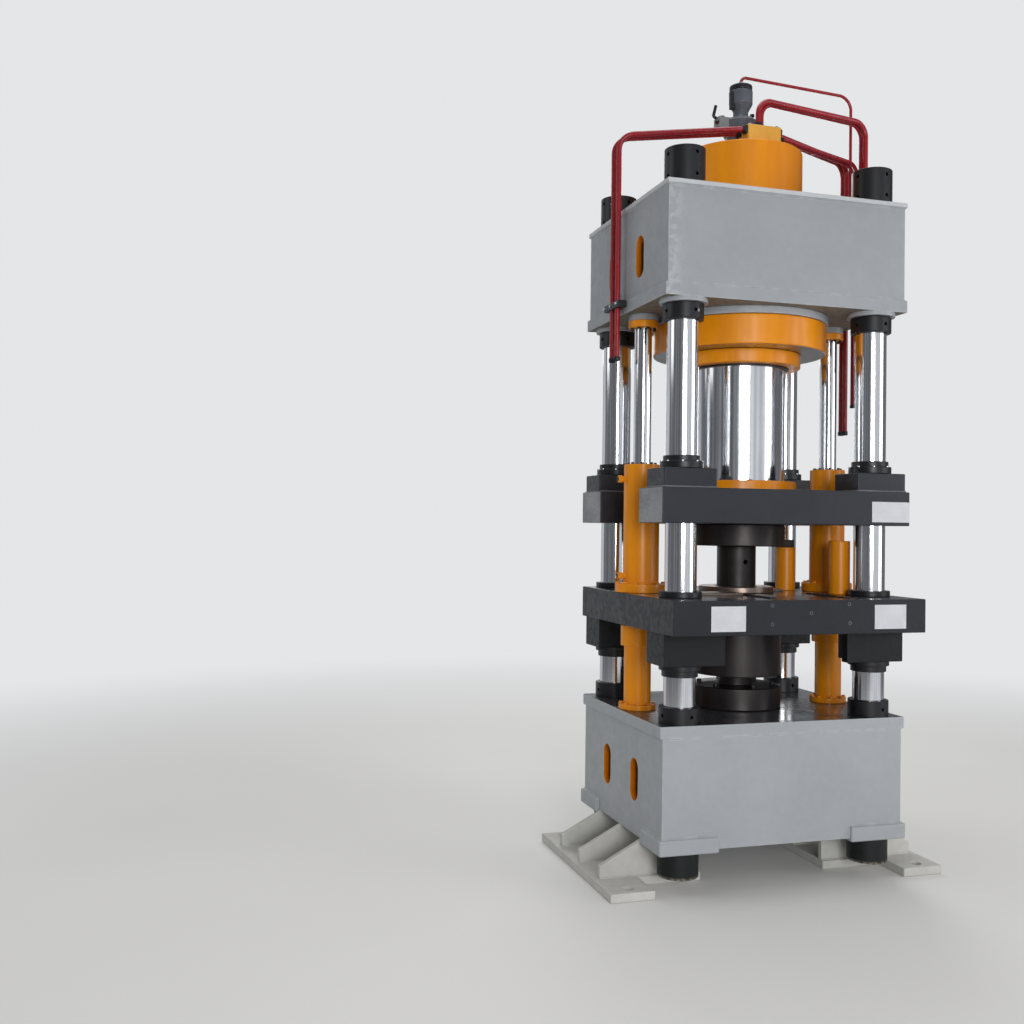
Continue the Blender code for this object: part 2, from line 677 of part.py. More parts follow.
def make_crown(shop):
    """Welded crown with its plates, cylinder seat, column and lift bosses, and side slots."""
    body = box_mesh("crown_box", (CROWN_WIDTH, CROWN_DEPTH, CROWN_BOX_HEIGHT + 2 * WELD_OVERLAP),
                    (0, 0, (CROWN_BOX_BOTTOM + CROWN_BOX_TOP) / 2))
    crown = shop.place("crown_frame", body, "frame_body", "frame_grey", (0, 0, 0))
    add_bevel(crown, PLATE_EDGE)
    top_box = box_mesh("crown_top", (CROWN_TOP_WIDTH, CROWN_TOP_DEPTH, CROWN_TOP_THICKNESS),
                       (0, 0, CROWN_TOP - CROWN_TOP_THICKNESS / 2))
    top = shop.tool("crown_top", top_box, crown)
    add_bevel(top, PLATE_EDGE)
    floor_box = box_mesh("crown_floor", (CROWN_FLOOR_WIDTH, CROWN_FLOOR_DEPTH, CROWN_FLOOR_THICKNESS),
                         (0, 0, CROWN_UNDERSIDE + CROWN_FLOOR_THICKNESS / 2))
    floor = shop.tool("crown_floor", floor_box, crown)
    add_bevel(floor, PLATE_EDGE)
    bosses = bmesh.new()
    weld = CROWN_UNDERSIDE + WELD_OVERLAP
    for x, y in column_places().values():
        add_rod(bosses, COLUMN_BOSS_DIAMETER, CROWN_UNDERSIDE - COLUMN_BOSS_HEIGHT, weld, x, y)
    for side in SIDES.values():
        add_rod(bosses, LIFT_ROD_CAP_DIAMETER, CROWN_UNDERSIDE - LIFT_BOSS_HEIGHT, weld, side * LIFT_X)
    add_rod(bosses, CYLINDER_SEAT_DIAMETER, CROWN_UNDERSIDE - CYLINDER_SEAT_HEIGHT, weld,
            segments=LARGE_SEGMENTS)
    seats = shop.tool("crown_seats", to_mesh("crown_seats", bosses), crown)
    combine(crown, (top, floor, seats), "UNION")
    bore = bmesh.new()
    add_rod(bore, CYLINDER_DIAMETER + 2 * GAP, CROWN_UNDERSIDE - CYLINDER_SEAT_HEIGHT - CUT_OVERRUN,
            CROWN_TOP + CUT_OVERRUN, segments=LARGE_SEGMENTS)
    cylinder_bore = shop.tool("crown_cylinder_bore", to_mesh("cylinder_bore", bore), crown)
    bores = column_bores(shop, crown, CROWN_UNDERSIDE - COLUMN_BOSS_HEIGHT - CUT_OVERRUN,
                         CROWN_TOP + CUT_OVERRUN)
    combine(crown, (cylinder_bore, bores), "DIFFERENCE")
    make_slots(shop, crown, CROWN_BOX_BOTTOM + CROWN_SLOT_MIDDLE, CROWN_WIDTH / 2)


def make_main_cylinder(shop):
    """Hollow main cylinder with its flange under the crown, and the gland below it."""
    radius = CYLINDER_DIAMETER / 2
    flange = CYLINDER_FLANGE_DIAMETER / 2
    bore = RAM_RADIUS + GAP
    foot = CYLINDER_FLANGE_BOTTOM
    top = CYLINDER_TOP - foot
    flange_top = CYLINDER_FLANGE_THICKNESS
    profile = [
        (0, top), (radius - CYLINDER_EDGE, top), (radius, top - CYLINDER_EDGE), (radius, flange_top),
        (flange - PLATE_EDGE, flange_top), (flange, flange_top - PLATE_EDGE), (flange, CYLINDER_EDGE),
        (flange - CYLINDER_EDGE, 0), (bore, 0), (bore, top - CYLINDER_HEAD), (0, top - CYLINDER_HEAD),
    ]
    turned_piece(shop, "main_cylinder", profile, "frame_body", "cylinder_orange", (0, 0, foot), closed=False,
                 segments=LARGE_SEGMENTS)
    gland = ring_profile(GLAND_DIAMETER / 2, bore, GLAND_THICKNESS, CYLINDER_EDGE / 2)
    turned_piece(shop, "cylinder_gland", gland, "frame_body", "cylinder_orange",
                 (0, 0, CYLINDER_FLANGE_BOTTOM - GAP - GLAND_THICKNESS), segments=LARGE_SEGMENTS)


def make_ram(shop):
    """Main ram and the flange that bolts it to the slide."""
    top = CYLINDER_TOP - CYLINDER_HEAD - RAM_FREE_LENGTH - SLIDE_TOP - GAP
    profile = [(0, top), (RAM_RADIUS - TURNED_EDGE, top), (RAM_RADIUS, top - TURNED_EDGE), (RAM_RADIUS, 0),
               (0, 0)]
    turned_piece(shop, "main_ram", profile, "slide_body", "chrome_steel", (0, 0, SLIDE_TOP + GAP),
                 closed=False, segments=LARGE_SEGMENTS)
    flange = ring_profile(RAM_FLANGE_DIAMETER / 2, RAM_RADIUS + GAP, RAM_FLANGE_THICKNESS, TURNED_EDGE)
    turned_piece(shop, "ram_flange", flange, "slide_body", "cylinder_orange", (0, 0, SLIDE_TOP + GAP),
                 segments=LARGE_SEGMENTS)


def slide_outline():
    """Plan of the slide beam, with a bay in each side for the lift cylinders."""
    half_x = SLIDE_WIDTH / 2
    half_y = SLIDE_DEPTH / 2
    bay_x = half_x - SLIDE_NOTCH_DEPTH
    bay_y = SLIDE_NOTCH_LENGTH / 2
    right = [(half_x, -half_y), (half_x, -bay_y), (bay_x, -bay_y), (bay_x, bay_y), (half_x, bay_y),
             (half_x, half_y)]
    left = [(-x, y) for x, y in reversed(right)]
    return right + left


def make_slide(shop):
    """Slide beam with its four raised pads and flanged bushes."""
    beam = plate_mesh("slide_beam", slide_outline(), SLIDE_UNDERSIDE, SLIDE_TOP)
    slide = shop.place("slide_beam", beam, "slide_body", "slide_slate", (0, 0, 0))
    add_bevel(slide, BEAM_EDGE)
    pads = bmesh.new()
    for x, y in column_places().values():
        add_span(pads, (x - SLIDE_PAD_WIDTH / 2, y - SLIDE_PAD_DEPTH / 2, SLIDE_TOP - WELD_OVERLAP),
                 (x + SLIDE_PAD_WIDTH / 2, y + SLIDE_PAD_DEPTH / 2, SLIDE_PAD_TOP))
    slide_pads = shop.tool("slide_pads", to_mesh("slide_pads", pads), slide)
    add_bevel(slide_pads, PLATE_EDGE)
    bores = bmesh.new()
    low = SLIDE_UNDERSIDE - CUT_OVERRUN
    for x, y in column_places().values():
        add_rod(bores, BUSH_DIAMETER + 2 * GAP, low, SLIDE_PAD_TOP + CUT_OVERRUN, x, y)
    bush_bores = shop.tool("slide_bush_bores", to_mesh("slide_bush_bores", bores), slide)
    combine(slide, (slide_pads,), "UNION")
    combine(slide, (bush_bores,), "DIFFERENCE")
    make_slide_bushes(shop)


def make_slide_bushes(shop):
    """Flanged bushes, each a sleeve through the slide with a stepped head on its pad."""
    sleeve = BUSH_DIAMETER / 2
    flange = BUSH_FLANGE_DIAMETER / 2
    bore = COLUMN_RADIUS + GAP
    seat = SLIDE_PAD_TOP + GAP - SLIDE_UNDERSIDE
    step = seat + BUSH_FLANGE_THICKNESS
    top = step + BUSH_COLLAR_HEIGHT
    profile = [
        (bore, top), (sleeve, top), (sleeve, step), (flange, step), (flange, seat), (sleeve, seat),
        (sleeve, 0), (bore, 0),
    ]
    for name, (x, y) in column_places().items():
        turned_piece(shop, "slide_bush_" + name, profile, "slide_body", "blackened_steel",
                     (x, y, SLIDE_UNDERSIDE))


def make_upper_tooling(shop):
    """Round upper die under the slide, and the punch stem under it."""
    foot = SLIDE_UNDERSIDE - GAP - UPPER_DIE_THICKNESS
    radius = UPPER_DIE_DIAMETER / 2
    height = UPPER_DIE_THICKNESS
    die = [(0, height), (radius, height), (radius, TOOL_EDGE), (radius - TOOL_EDGE, 0), (0, 0)]
    turned_piece(shop, "upper_die", die, "slide_body", "tool_steel", (0, 0, foot), closed=False)
    top = foot - GAP
    length = top - STEM_BOTTOM
    radius = STEM_DIAMETER / 2
    profile = [(0, length), (radius, length), (radius, TOOL_EDGE), (radius - TOOL_EDGE, 0), (0, 0)]
    stem = turned_piece(shop, "punch_stem", profile, "slide_body", "tool_steel", (0, 0, STEM_BOTTOM),
                        closed=False)
    shape = bmesh.new()
    place = Matrix.Translation((0, 0, length - STEM_HOLE_DROP)) @ Matrix.Rotation(math.pi / 2, 4, "X")
    bmesh.ops.create_cone(shape, cap_ends=True, segments=HOLE_SEGMENTS, radius1=STEM_HOLE_DIAMETER / 2,
                          radius2=STEM_HOLE_DIAMETER / 2, depth=STEM_DIAMETER + 2 * CUT_OVERRUN, matrix=place)
    combine(stem, (shop.tool("stem_hole", to_mesh("stem_hole", shape), stem),), "DIFFERENCE")


def platen_boss_outline(x, y):
    """Plan of a boss under a platen's corner, with a wing that runs inwards along the outer face."""
    outer_x = COLUMN_X + PLATEN_BOSS_OUTWARD
    inner_x = COLUMN_X - PLATEN_BOSS_INWARD
    wing_x = inner_x - PLATEN_WING_LENGTH
    outer_y = COLUMN_Y + PLATEN_BOSS_DEPTH / 2
    inner_y = COLUMN_Y - PLATEN_BOSS_DEPTH / 2
    wing_y = outer_y - PLATEN_WING_THICKNESS
    points = [(outer_x, outer_y), (wing_x, outer_y), (wing_x, wing_y), (inner_x, wing_y), (inner_x, inner_y),
              (outer_x, inner_y)]
    return [(x * across, y * along) for across, along in points]


def make_platen(shop):
    """Floating platen with its column bosses, bushes, wipers and the die sleeve under its middle."""
    middle_y = (PLATEN_BACK - PLATEN_FRONT) / 2
    body = box_mesh("platen_plate", (PLATEN_WIDTH, PLATEN_FRONT + PLATEN_BACK, PLATEN_THICKNESS),
                    (0, middle_y, PLATEN_UNDERSIDE + PLATEN_THICKNESS / 2))
    platen = shop.place("floating_platen", body, "platen_body", "slide_slate", (0, 0, 0))
    add_bevel(platen, BEAM_EDGE)
    boss_bottom = PLATEN_UNDERSIDE - PLATEN_BOSS_HEIGHT
    bosses = bmesh.new()
    for x, y in CORNERS.values():
        add_plate(bosses, platen_boss_outline(x, y), boss_bottom, PLATEN_UNDERSIDE + WELD_OVERLAP)
    boss_blocks = shop.tool("platen_bosses", to_mesh("platen_bosses", bosses), platen)
    add_bevel(boss_blocks, PLATE_EDGE)
    rings = bmesh.new()
    for x, y in column_places().values():
        add_rod(rings, LOWER_BUSH_DIAMETER, boss_bottom - LOWER_BUSH_HEIGHT, boss_bottom + WELD_OVERLAP, x, y)
        add_rod(rings, WIPER_DIAMETER, PLATEN_TOP - WELD_OVERLAP, PLATEN_TOP + WIPER_HEIGHT, x, y)
    bush_ends = shop.tool("platen_bush_ends", to_mesh("bush_ends", rings), platen)
    flanges = bmesh.new()
    for x, y in column_places().values():
        add_rod(flanges, LOWER_BUSH_FLANGE_DIAMETER, boss_bottom - LOWER_BUSH_FLANGE_HEIGHT,
                boss_bottom + WELD_OVERLAP, x, y)
    add_rod(flanges, SLEEVE_DIAMETER, PLATEN_UNDERSIDE - SLEEVE_LENGTH, PLATEN_UNDERSIDE + WELD_OVERLAP)
    bush_flanges = shop.tool("platen_bush_flanges", to_mesh("bush_flanges", flanges), platen)
    combine(platen, (boss_blocks, bush_ends, bush_flanges), "UNION")
    bores = column_bores(shop, platen, boss_bottom - LOWER_BUSH_HEIGHT - CUT_OVERRUN,
                         PLATEN_TOP + WIPER_HEIGHT + CUT_OVERRUN)
    centre = bmesh.new()
    add_rod(centre, SLEEVE_BORE, PLATEN_UNDERSIDE - SLEEVE_LENGTH - CUT_OVERRUN, PLATEN_TOP + CUT_OVERRUN)
    centre_bore = shop.tool("platen_centre_bore", to_mesh("centre_bore", centre), platen)
    combine(platen, (bores, centre_bore), "DIFFERENCE")


def make_platen_tooling(shop):
    """Die ring and the two stop posts that stand on the platen."""
    foot = PLATEN_TOP + GAP
    ring = ring_profile(DIE_RING_DIAMETER / 2, DIE_RING_BORE / 2, DIE_RING_THICKNESS, TURNED_EDGE)
    turned_piece(shop, "die_ring", ring, "platen_body", "tool_steel", (0, 0, foot))
    height = SLIDE_UNDERSIDE - STOP_POST_CLEARANCE - foot
    make_stop_post(shop, "stop_post_right", height, (RIGHT_POST_X, RIGHT_POST_Y, foot))
    back_height = height - POST_HEAD_HEIGHT
    back = make_stop_post(shop, "stop_post_back", back_height, (BACK_POST_X, BACK_POST_Y, foot))
    head = box_mesh("post_head", (POST_HEAD_WIDTH, POST_HEAD_WIDTH, POST_HEAD_HEIGHT + WELD_OVERLAP),
                    (-POST_HEAD_OFFSET, 0, height - (POST_HEAD_HEIGHT + WELD_OVERLAP) / 2))
    combine(back, (shop.tool("post_head", head, back),), "UNION")


def make_stop_post(shop, name, height, location):
    """Plain round post that stands on the platen."""
    radius = STOP_POST_DIAMETER / 2
    edge = radius - TURNED_EDGE
    profile = [(0, height), (edge, height), (radius, height - TURNED_EDGE), (radius, 0), (0, 0)]
    return turned_piece(shop, name, profile, "platen_body", "cylinder_orange", location, closed=False)


def make_bed_tooling(shop):
    """Round bolster on the bed with the lower punch that stands up into the die sleeve."""
    base = BOLSTER_DIAMETER / 2
    punch = LOWER_PUNCH_DIAMETER / 2
    top = BOLSTER_THICKNESS + LOWER_PUNCH_LENGTH
    profile = [
        (0, top), (punch - TOOL_EDGE, top), (punch, top - TOOL_EDGE), (punch, BOLSTER_THICKNESS),
        (base - TOOL_EDGE, BOLSTER_THICKNESS), (base, BOLSTER_THICKNESS - TOOL_EDGE), (base, 0), (0, 0),
    ]
    turned_piece(shop, "lower_punch", profile, "frame_body", "tool_steel", (0, 0, BED_TOP + GAP),
                 closed=False)


def port_stubs(shop, owner, side, heights):
    """Oil ports that stand out of a lift cylinder's wall, away from the press's middle."""
    shape = bmesh.new()
    reach = PORT_LENGTH + WELD_OVERLAP
    middle = side * (LIFT_TUBE_DIAMETER / 2 - WELD_OVERLAP + reach / 2)
    for height in heights:
        place = Matrix.Translation((middle, 0, height)) @ Matrix.Rotation(math.pi / 2, 4, "Y")
        bmesh.ops.create_cone(shape, cap_ends=True, segments=HOLE_SEGMENTS, radius1=PORT_DIAMETER / 2,
                              radius2=PORT_DIAMETER / 2, depth=reach, matrix=place)
    return shop.tool(owner.name + "_ports", to_mesh("ports", shape), owner)


def make_lift_cylinders(shop):
    """Lift cylinders on the platen, with their rods bolted up under the crown."""
    tube = LIFT_TUBE_DIAMETER / 2
    bore = LIFT_TUBE_BORE / 2
    flange = LIFT_FLANGE_DIAMETER / 2
    rod = LIFT_ROD_DIAMETER / 2
    cap = LIFT_CAP_RADIUS
    length = LIFT_TUBE_LENGTH
    barrel = [
        (rod + GAP, length), (tube - TURNED_EDGE, length), (tube, length - TURNED_EDGE),
        (tube, LIFT_FLANGE_THICKNESS), (flange - TURNED_EDGE, LIFT_FLANGE_THICKNESS),
        (flange, LIFT_FLANGE_THICKNESS - TURNED_EDGE), (flange, 0), (0, 0), (0, LIFT_FLANGE_THICKNESS),
        (bore, LIFT_FLANGE_THICKNESS), (bore, length - LIFT_TUBE_LIP), (rod + GAP, length - LIFT_TUBE_LIP),
    ]
    rod_top = CROWN_UNDERSIDE - LIFT_BOSS_HEIGHT - GAP
    rod_foot = PLATEN_TOP + GAP + LIFT_PISTON_HEIGHT
    span = rod_top - rod_foot
    piston = bore - GAP
    plunger = [
        (0, span), (cap, span), (cap, span - LIFT_ROD_CAP_THICKNESS + TURNED_EDGE),
        (cap - TURNED_EDGE, span - LIFT_ROD_CAP_THICKNESS), (rod, span - LIFT_ROD_CAP_THICKNESS),
        (rod, LIFT_PISTON_THICKNESS), (piston, LIFT_PISTON_THICKNESS), (piston, 0), (0, 0),
    ]
    port_heights = (length - PORT_INSET, LIFT_FLANGE_THICKNESS + PORT_INSET / 2)
    for name, side in SIDES.items():
        barrel_piece = turned_piece(shop, "lift_cylinder_" + name, rotated_outline(barrel), "platen_body",
                                    "cylinder_orange", (side * LIFT_X, 0, PLATEN_TOP + GAP), closed=False)
        combine(barrel_piece, (port_stubs(shop, barrel_piece, side, port_heights),), "UNION")
        turned_piece(shop, "lift_rod_" + name, plunger, "frame_body", "chrome_steel",
                     (side * LIFT_X, 0, rod_foot), closed=False)


def rotated_outline(outline):
    """Starts and ends a blind barrel's outline on the axis, at the inner floor and the foot."""
    split = next(index for index, point in enumerate(outline) if point[0] == 0)
    return outline[split + 1:] + outline[:split + 1]


def make_float_cylinders(shop):
    """Float cylinders on the bed, with the short rods that carry the platen."""
    tube = FLOAT_TUBE_DIAMETER / 2
    bore = FLOAT_TUBE_BORE / 2
    flange = FLOAT_FLANGE_DIAMETER / 2
    collar = FLOAT_COLLAR_DIAMETER / 2
    rod = FLOAT_ROD_DIAMETER / 2
    foot = BED_TOP + GAP
    length = PLATEN_UNDERSIDE - FLOAT_CLEARANCE - foot
    collar_foot = length - FLOAT_COLLAR_HEIGHT
    barrel = [
        (rod + GAP, length), (collar - TURNED_EDGE, length), (collar, length - TURNED_EDGE),
        (collar, collar_foot), (tube, collar_foot), (tube, FLOAT_FLANGE_THICKNESS),
        (flange - TURNED_EDGE, FLOAT_FLANGE_THICKNESS), (flange, FLOAT_FLANGE_THICKNESS - TURNED_EDGE),
        (flange, 0), (0, 0), (0, FLOAT_FLANGE_THICKNESS), (bore, FLOAT_FLANGE_THICKNESS),
        (bore, length - FLOAT_TUBE_LIP), (rod + GAP, length - FLOAT_TUBE_LIP),
    ]
    rod_foot = FLOAT_FLANGE_THICKNESS + GAP
    span = PLATEN_UNDERSIDE - GAP - foot - rod_foot
    piston = bore - GAP
    plunger = [(0, span), (rod - TURNED_EDGE, span), (rod, span - TURNED_EDGE), (rod, FLOAT_PISTON_THICKNESS),
               (piston, FLOAT_PISTON_THICKNESS), (piston, 0), (0, 0)]
    for name, side in SIDES.items():
        turned_piece(shop, "float_cylinder_" + name, rotated_outline(barrel), "frame_body", "cylinder_orange",
                     (side * FLOAT_X, 0, foot), closed=False, segments=SMALL_SEGMENTS)
        turned_piece(shop, "float_rod_" + name, plunger, "platen_body", "chrome_steel",
                     (side * FLOAT_X, 0, foot + rod_foot), closed=False, segments=SMALL_SEGMENTS)


def make_head_fittings(shop):
    """Manifold block and prefill valve on the cylinder head."""
    block_box = box_mesh("manifold_block", (BLOCK_WIDTH, BLOCK_DEPTH, BLOCK_HEIGHT), (0, 0, BLOCK_HEIGHT / 2))
    block = shop.place("manifold_block", block_box, "frame_body", "cylinder_orange",
                       (BLOCK_X, BLOCK_Y, BLOCK_BOTTOM))
    add_bevel(block, BLOCK_EDGE, 2)
    neck = VALVE_NECK_DIAMETER / 2
    base = VALVE_BASE_DIAMETER / 2
    waist = VALVE_WAIST_DIAMETER / 2
    body = VALVE_BODY_DIAMETER / 2
    base_foot = VALVE_NECK_HEIGHT
    base_top = base_foot + VALVE_BASE_HEIGHT
    waist_top = base_top + VALVE_WAIST_HEIGHT
    taper_top = waist_top + VALVE_TAPER_HEIGHT
    cap_foot = taper_top + VALVE_BODY_HEIGHT
    top = cap_foot + VALVE_CAP_HEIGHT
    profile = [
        (0, top), (body - 2 * VALVE_EDGE, top), (body - VALVE_EDGE, cap_foot), (body, cap_foot - VALVE_EDGE),
        (body, taper_top), (waist, waist_top), (waist, base_top), (base - 2 * VALVE_EDGE, base_top),
        (base, base_top - 2 * VALVE_EDGE), (base, base_foot), (neck, base_foot), (neck, 0), (0, 0),
    ]
    turned_piece(shop, "prefill_valve", profile, "frame_body", "valve_grey", (0, 0, CYLINDER_TOP + GAP),
                 closed=False)


def rounded_route(corners, radii):
    """Turns a list of corners into a route with a round bend at each inner corner."""
    corners = [Vector(corner) for corner in corners]
    route = [corners[0]]
    for before, corner, after, radius in zip(corners, corners[1:], corners[2:], radii):
        into = (before - corner).normalized()
        out = (after - corner).normalized()
        half = into.angle(out) / 2
        leg = radius / math.tan(half)
        centre = corner + (into + out).normalized() * (radius / math.sin(half))
        start = corner + into * leg - centre
        end = corner + out * leg - centre
        sweep = start.angle(end)
        for step in range(CORNER_STEPS + 1):
            share = step / CORNER_STEPS
            weight_start = math.sin((1 - share) * sweep) / math.sin(sweep)
            weight_end = math.sin(share * sweep) / math.sin(sweep)
            route.append(centre + start * weight_start + end * weight_end)
    route.append(corners[-1])
    return route


def make_pipe(shop, name, corners, diameter, radii=(PIPE_BEND_RADIUS, PIPE_BEND_RADIUS)):
    """Makes a bent steel pipe as a filled curve."""
    route = rounded_route(corners, radii)
    curve = bpy.data.curves.new(name, "CURVE")
    curve.dimensions = "3D"
    curve.bevel_depth = diameter / 2
    curve.bevel_resolution = PIPE_RESOLUTION
    curve.use_fill_caps = True
    spline = curve.splines.new("POLY")
    spline.points.add(len(route) - 1)
    for point, place in zip(spline.points, route):
        point.co = (*place, 1.0)
    shop.place(name, curve, "frame_body", "pipe_red", (0, 0, 0))


def make_left_pipes(shop):
    """Two pipes from the manifold's left face down the crown's left side, with their clamp."""
    run = BLOCK_TOP - PIPE_DIAMETER
    start = BLOCK_X - BLOCK_WIDTH / 2 - GAP
    end = run - LEFT_PIPE_DROP
    half = PIPE_PORT_SPACING / 2
    for name, step in (("front", -half), ("rear", half)):
        side = SIDE_PIPE_MIDDLE + step
        port = BLOCK_Y + step
        route = [(start, port, run), (start - PIPE_STUB, port, run), (-SIDE_PIPE_X, side, run),
                 (-SIDE_PIPE_X, side, end)]
        make_pipe(shop, "left_pipe_" + name, route, PIPE_DIAMETER)
    inner = -(CROWN_FLOOR_WIDTH / 2 + GAP)
    outer = -(SIDE_PIPE_X + PIPE_RADIUS + CLAMP_OUTSIDE)
    bottom = CROWN_UNDERSIDE + CLAMP_DROP
    middle = ((inner + outer) / 2, SIDE_PIPE_MIDDLE, bottom + CLAMP_HEIGHT / 2)
    clamp_box = box_mesh("pipe_clamp", (inner - outer, CLAMP_LENGTH, CLAMP_HEIGHT), (0, 0, 0))
    clamp = shop.place("pipe_clamp", clamp_box, "frame_body", "blackened_steel", middle)
    holes = bmesh.new()
    bore = (PIPE_DIAMETER + 2 * GAP) / math.cos(math.pi / SMALL_SEGMENTS)
    for step in (-half, half):
        add_rod(holes, bore, -CLAMP_HEIGHT, CLAMP_HEIGHT, -SIDE_PIPE_X - middle[0], step, SMALL_SEGMENTS)
    combine(clamp, (shop.tool("clamp_holes", to_mesh("clamp_holes", holes), clamp),), "DIFFERENCE")


def right_side_place(index):
    """Gives how far along the crown's right side a pipe comes down, counted from the front."""
    return RIGHT_SIDE_FIRST_Y + index * RIGHT_SIDE_SPACING


def make_over_pipes(shop):
    """Two pipes that rise from the manifold's top and bend over the crown to its right side."""
    high = BLOCK_TOP + OVER_PIPE_RISE
    step = PIPE_DIAMETER + PIPE_CLEARANCE
    for index, name in enumerate(("front", "rear")):
        port_x = BLOCK_X + (index - 0.5) * step
        port_y = BLOCK_Y + (index - 0.5) * step
        side = right_side_place(index)
        route = [(port_x, port_y, BLOCK_TOP + GAP), (port_x, port_y, high), (SIDE_PIPE_X, side, high),
                 (SIDE_PIPE_X, side, high - HIDDEN_PIPE_DROP)]
        make_pipe(shop, "over_pipe_" + name, route, PIPE_DIAMETER)


def make_face_pipes(shop, prefix, diameter, port_middle, run, drop, first_index):
    """Two pipes from the manifold's right face down the crown's right side."""
    face = BLOCK_X + BLOCK_WIDTH / 2 + GAP
    step = diameter + PIPE_CLEARANCE
    for index, name in enumerate(("front", "rear")):
        port_y = port_middle + (index - 0.5) * step
        side = right_side_place(first_index + index)
        route = [(face, port_y, run), (face + PIPE_STUB, port_y, run), (SIDE_PIPE_X, side, run),
                 (SIDE_PIPE_X, side, run - drop)]
        make_pipe(shop, prefix + name, route, diameter)


def make_right_pipes(shop):
    """Pipes from the manifold and the prefill valve down the crown's right side."""
    make_over_pipes(shop)
    half = PIPE_PORT_SPACING / 2
    make_face_pipes(shop, "thin_pipe_", THIN_PIPE_DIAMETER, BLOCK_Y - half, BLOCK_BOTTOM + PIPE_DIAMETER,
                    HIDDEN_PIPE_DROP, THIN_PIPE_PLACE)
    thick_run = BLOCK_TOP - PIPE_RADIUS - PIPE_CLEARANCE
    make_face_pipes(shop, "right_pipe_", PIPE_DIAMETER, BLOCK_Y + half, thick_run, RIGHT_PIPE_DROP,
                    RIGHT_PIPE_PLACE)
    run = VALVE_TOP + PILOT_RISE
    low = run - PILOT_FALL
    side = right_side_place(PILOT_PIPE_PLACE)
    route = [(0, 0, VALVE_TOP + GAP), (0, 0, run), (SIDE_PIPE_X, side, low),
             (SIDE_PIPE_X, side, low - PILOT_PIPE_DROP)]
    make_pipe(shop, "pilot_pipe", route, PILOT_PIPE_DIAMETER, (PILOT_BEND_RADIUS, PIPE_BEND_RADIUS))


def shade_pieces(shop):
    """Shades the round meshes smooth."""
    for thing in shop.parts.objects:
        if thing.type == "MESH" and any(modifier.type == "SCREW" for modifier in thing.modifiers):
            shade_round(thing.data)


def main():
    """Builds the press from the floor up."""
    clear_scene()
    shop = Workshop()
    make_bed(shop)
    make_feet(shop)
    make_columns(shop)
    make_all_nuts(shop)
    make_crown(shop)
    make_main_cylinder(shop)
    make_ram(shop)
    make_slide(shop)
    make_upper_tooling(shop)
    make_platen(shop)
    make_platen_tooling(shop)
    make_bed_tooling(shop)
    make_lift_cylinders(shop)
    make_float_cylinders(shop)
    make_head_fittings(shop)
    make_left_pipes(shop)
    make_right_pipes(shop)
    shade_pieces(shop)


main()
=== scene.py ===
"""Looks of the four-column hydraulic press: its finishes, rounded shapes, welds and fittings.

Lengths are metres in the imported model's frame: the floor is z = 0, the front faces -Y.
"""
import logging
import math
from collections.abc import Callable
from collections.abc import Sequence
from dataclasses import dataclass
from enum import Enum
from enum import IntEnum
from typing import Union

import bmesh
import bpy
from mathutils import Matrix
from mathutils import Vector

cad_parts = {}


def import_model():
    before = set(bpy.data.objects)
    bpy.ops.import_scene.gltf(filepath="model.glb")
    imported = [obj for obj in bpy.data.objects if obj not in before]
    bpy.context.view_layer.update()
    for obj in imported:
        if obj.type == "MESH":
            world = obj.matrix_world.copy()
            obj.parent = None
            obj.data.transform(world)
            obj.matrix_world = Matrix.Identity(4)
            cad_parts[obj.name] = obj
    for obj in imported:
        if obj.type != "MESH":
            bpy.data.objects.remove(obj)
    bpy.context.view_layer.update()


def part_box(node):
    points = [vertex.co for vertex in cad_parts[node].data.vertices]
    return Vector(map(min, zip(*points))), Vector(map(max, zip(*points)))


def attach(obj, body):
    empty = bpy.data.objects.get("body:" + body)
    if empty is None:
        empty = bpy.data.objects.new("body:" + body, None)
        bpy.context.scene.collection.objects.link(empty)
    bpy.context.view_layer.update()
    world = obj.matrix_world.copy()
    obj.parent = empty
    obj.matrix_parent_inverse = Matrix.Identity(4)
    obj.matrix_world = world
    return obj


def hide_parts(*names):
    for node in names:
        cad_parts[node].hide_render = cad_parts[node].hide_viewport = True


LOG = logging.getLogger("press_looks")
TOUCH = 0.0003
RING_STEPS = 96
LARGE_RING_STEPS = 128
ON_AXIS = 1e-6
MERGE_DISTANCE = 0.000005
SHARP_ANGLE = math.radians(38)
BEVEL_ANGLE = math.radians(25)
PLATE_PROUD = 0.0025
PLATE_EDGE = 0.0006
Point = tuple[float, float]
Place = tuple[float, float, float]
Colour = tuple[float, float, float]
Value = Union[float, bpy.types.NodeSocket]


class Body(str, Enum):
    """The rigid bodies that pieces ride on."""

    FRAME = "press_frame"
    SLIDE = "slide"
    PLATEN = "platen"


class BoxFinish(IntEnum):
    """Finish numbers on the bed and the crown, beside 0 for the box itself."""

    POCKET = 1
    FACE = 2
    # Far end of a slot pocket, painted dark brown as shade.
    POCKET_END = 3
    # Rim of the crown's top plate, painted pale as highlight.
    RIM = 4


class Corner(Enum):
    """The four columns, as (name, side to the right, side to the back)."""

    FRONT_LEFT = ("front_left", -1, -1)
    FRONT_RIGHT = ("front_right", 1, -1)
    BACK_LEFT = ("back_left", -1, 1)
    BACK_RIGHT = ("back_right", 1, 1)


class Side(Enum):
    """The two sides, as (name, direction along X)."""

    LEFT = ("left", -1)
    RIGHT = ("right", 1)


def srgb(red: int, green: int, blue: int) -> Colour:
    """Turns a screen colour into the linear one that shaders take.

    Args:
        red: Red from 0 to 255.
        green: Green from 0 to 255.
        blue: Blue from 0 to 255.

    Returns:
        The linear colour.
    """

    def linear(level: int) -> float:
        """Gives the linear share of one level."""
        share = level / 255
        return share / 12.92 if share <= 0.04045 else ((share + 0.055) / 1.055) ** 2.4

    return linear(red), linear(green), linear(blue)


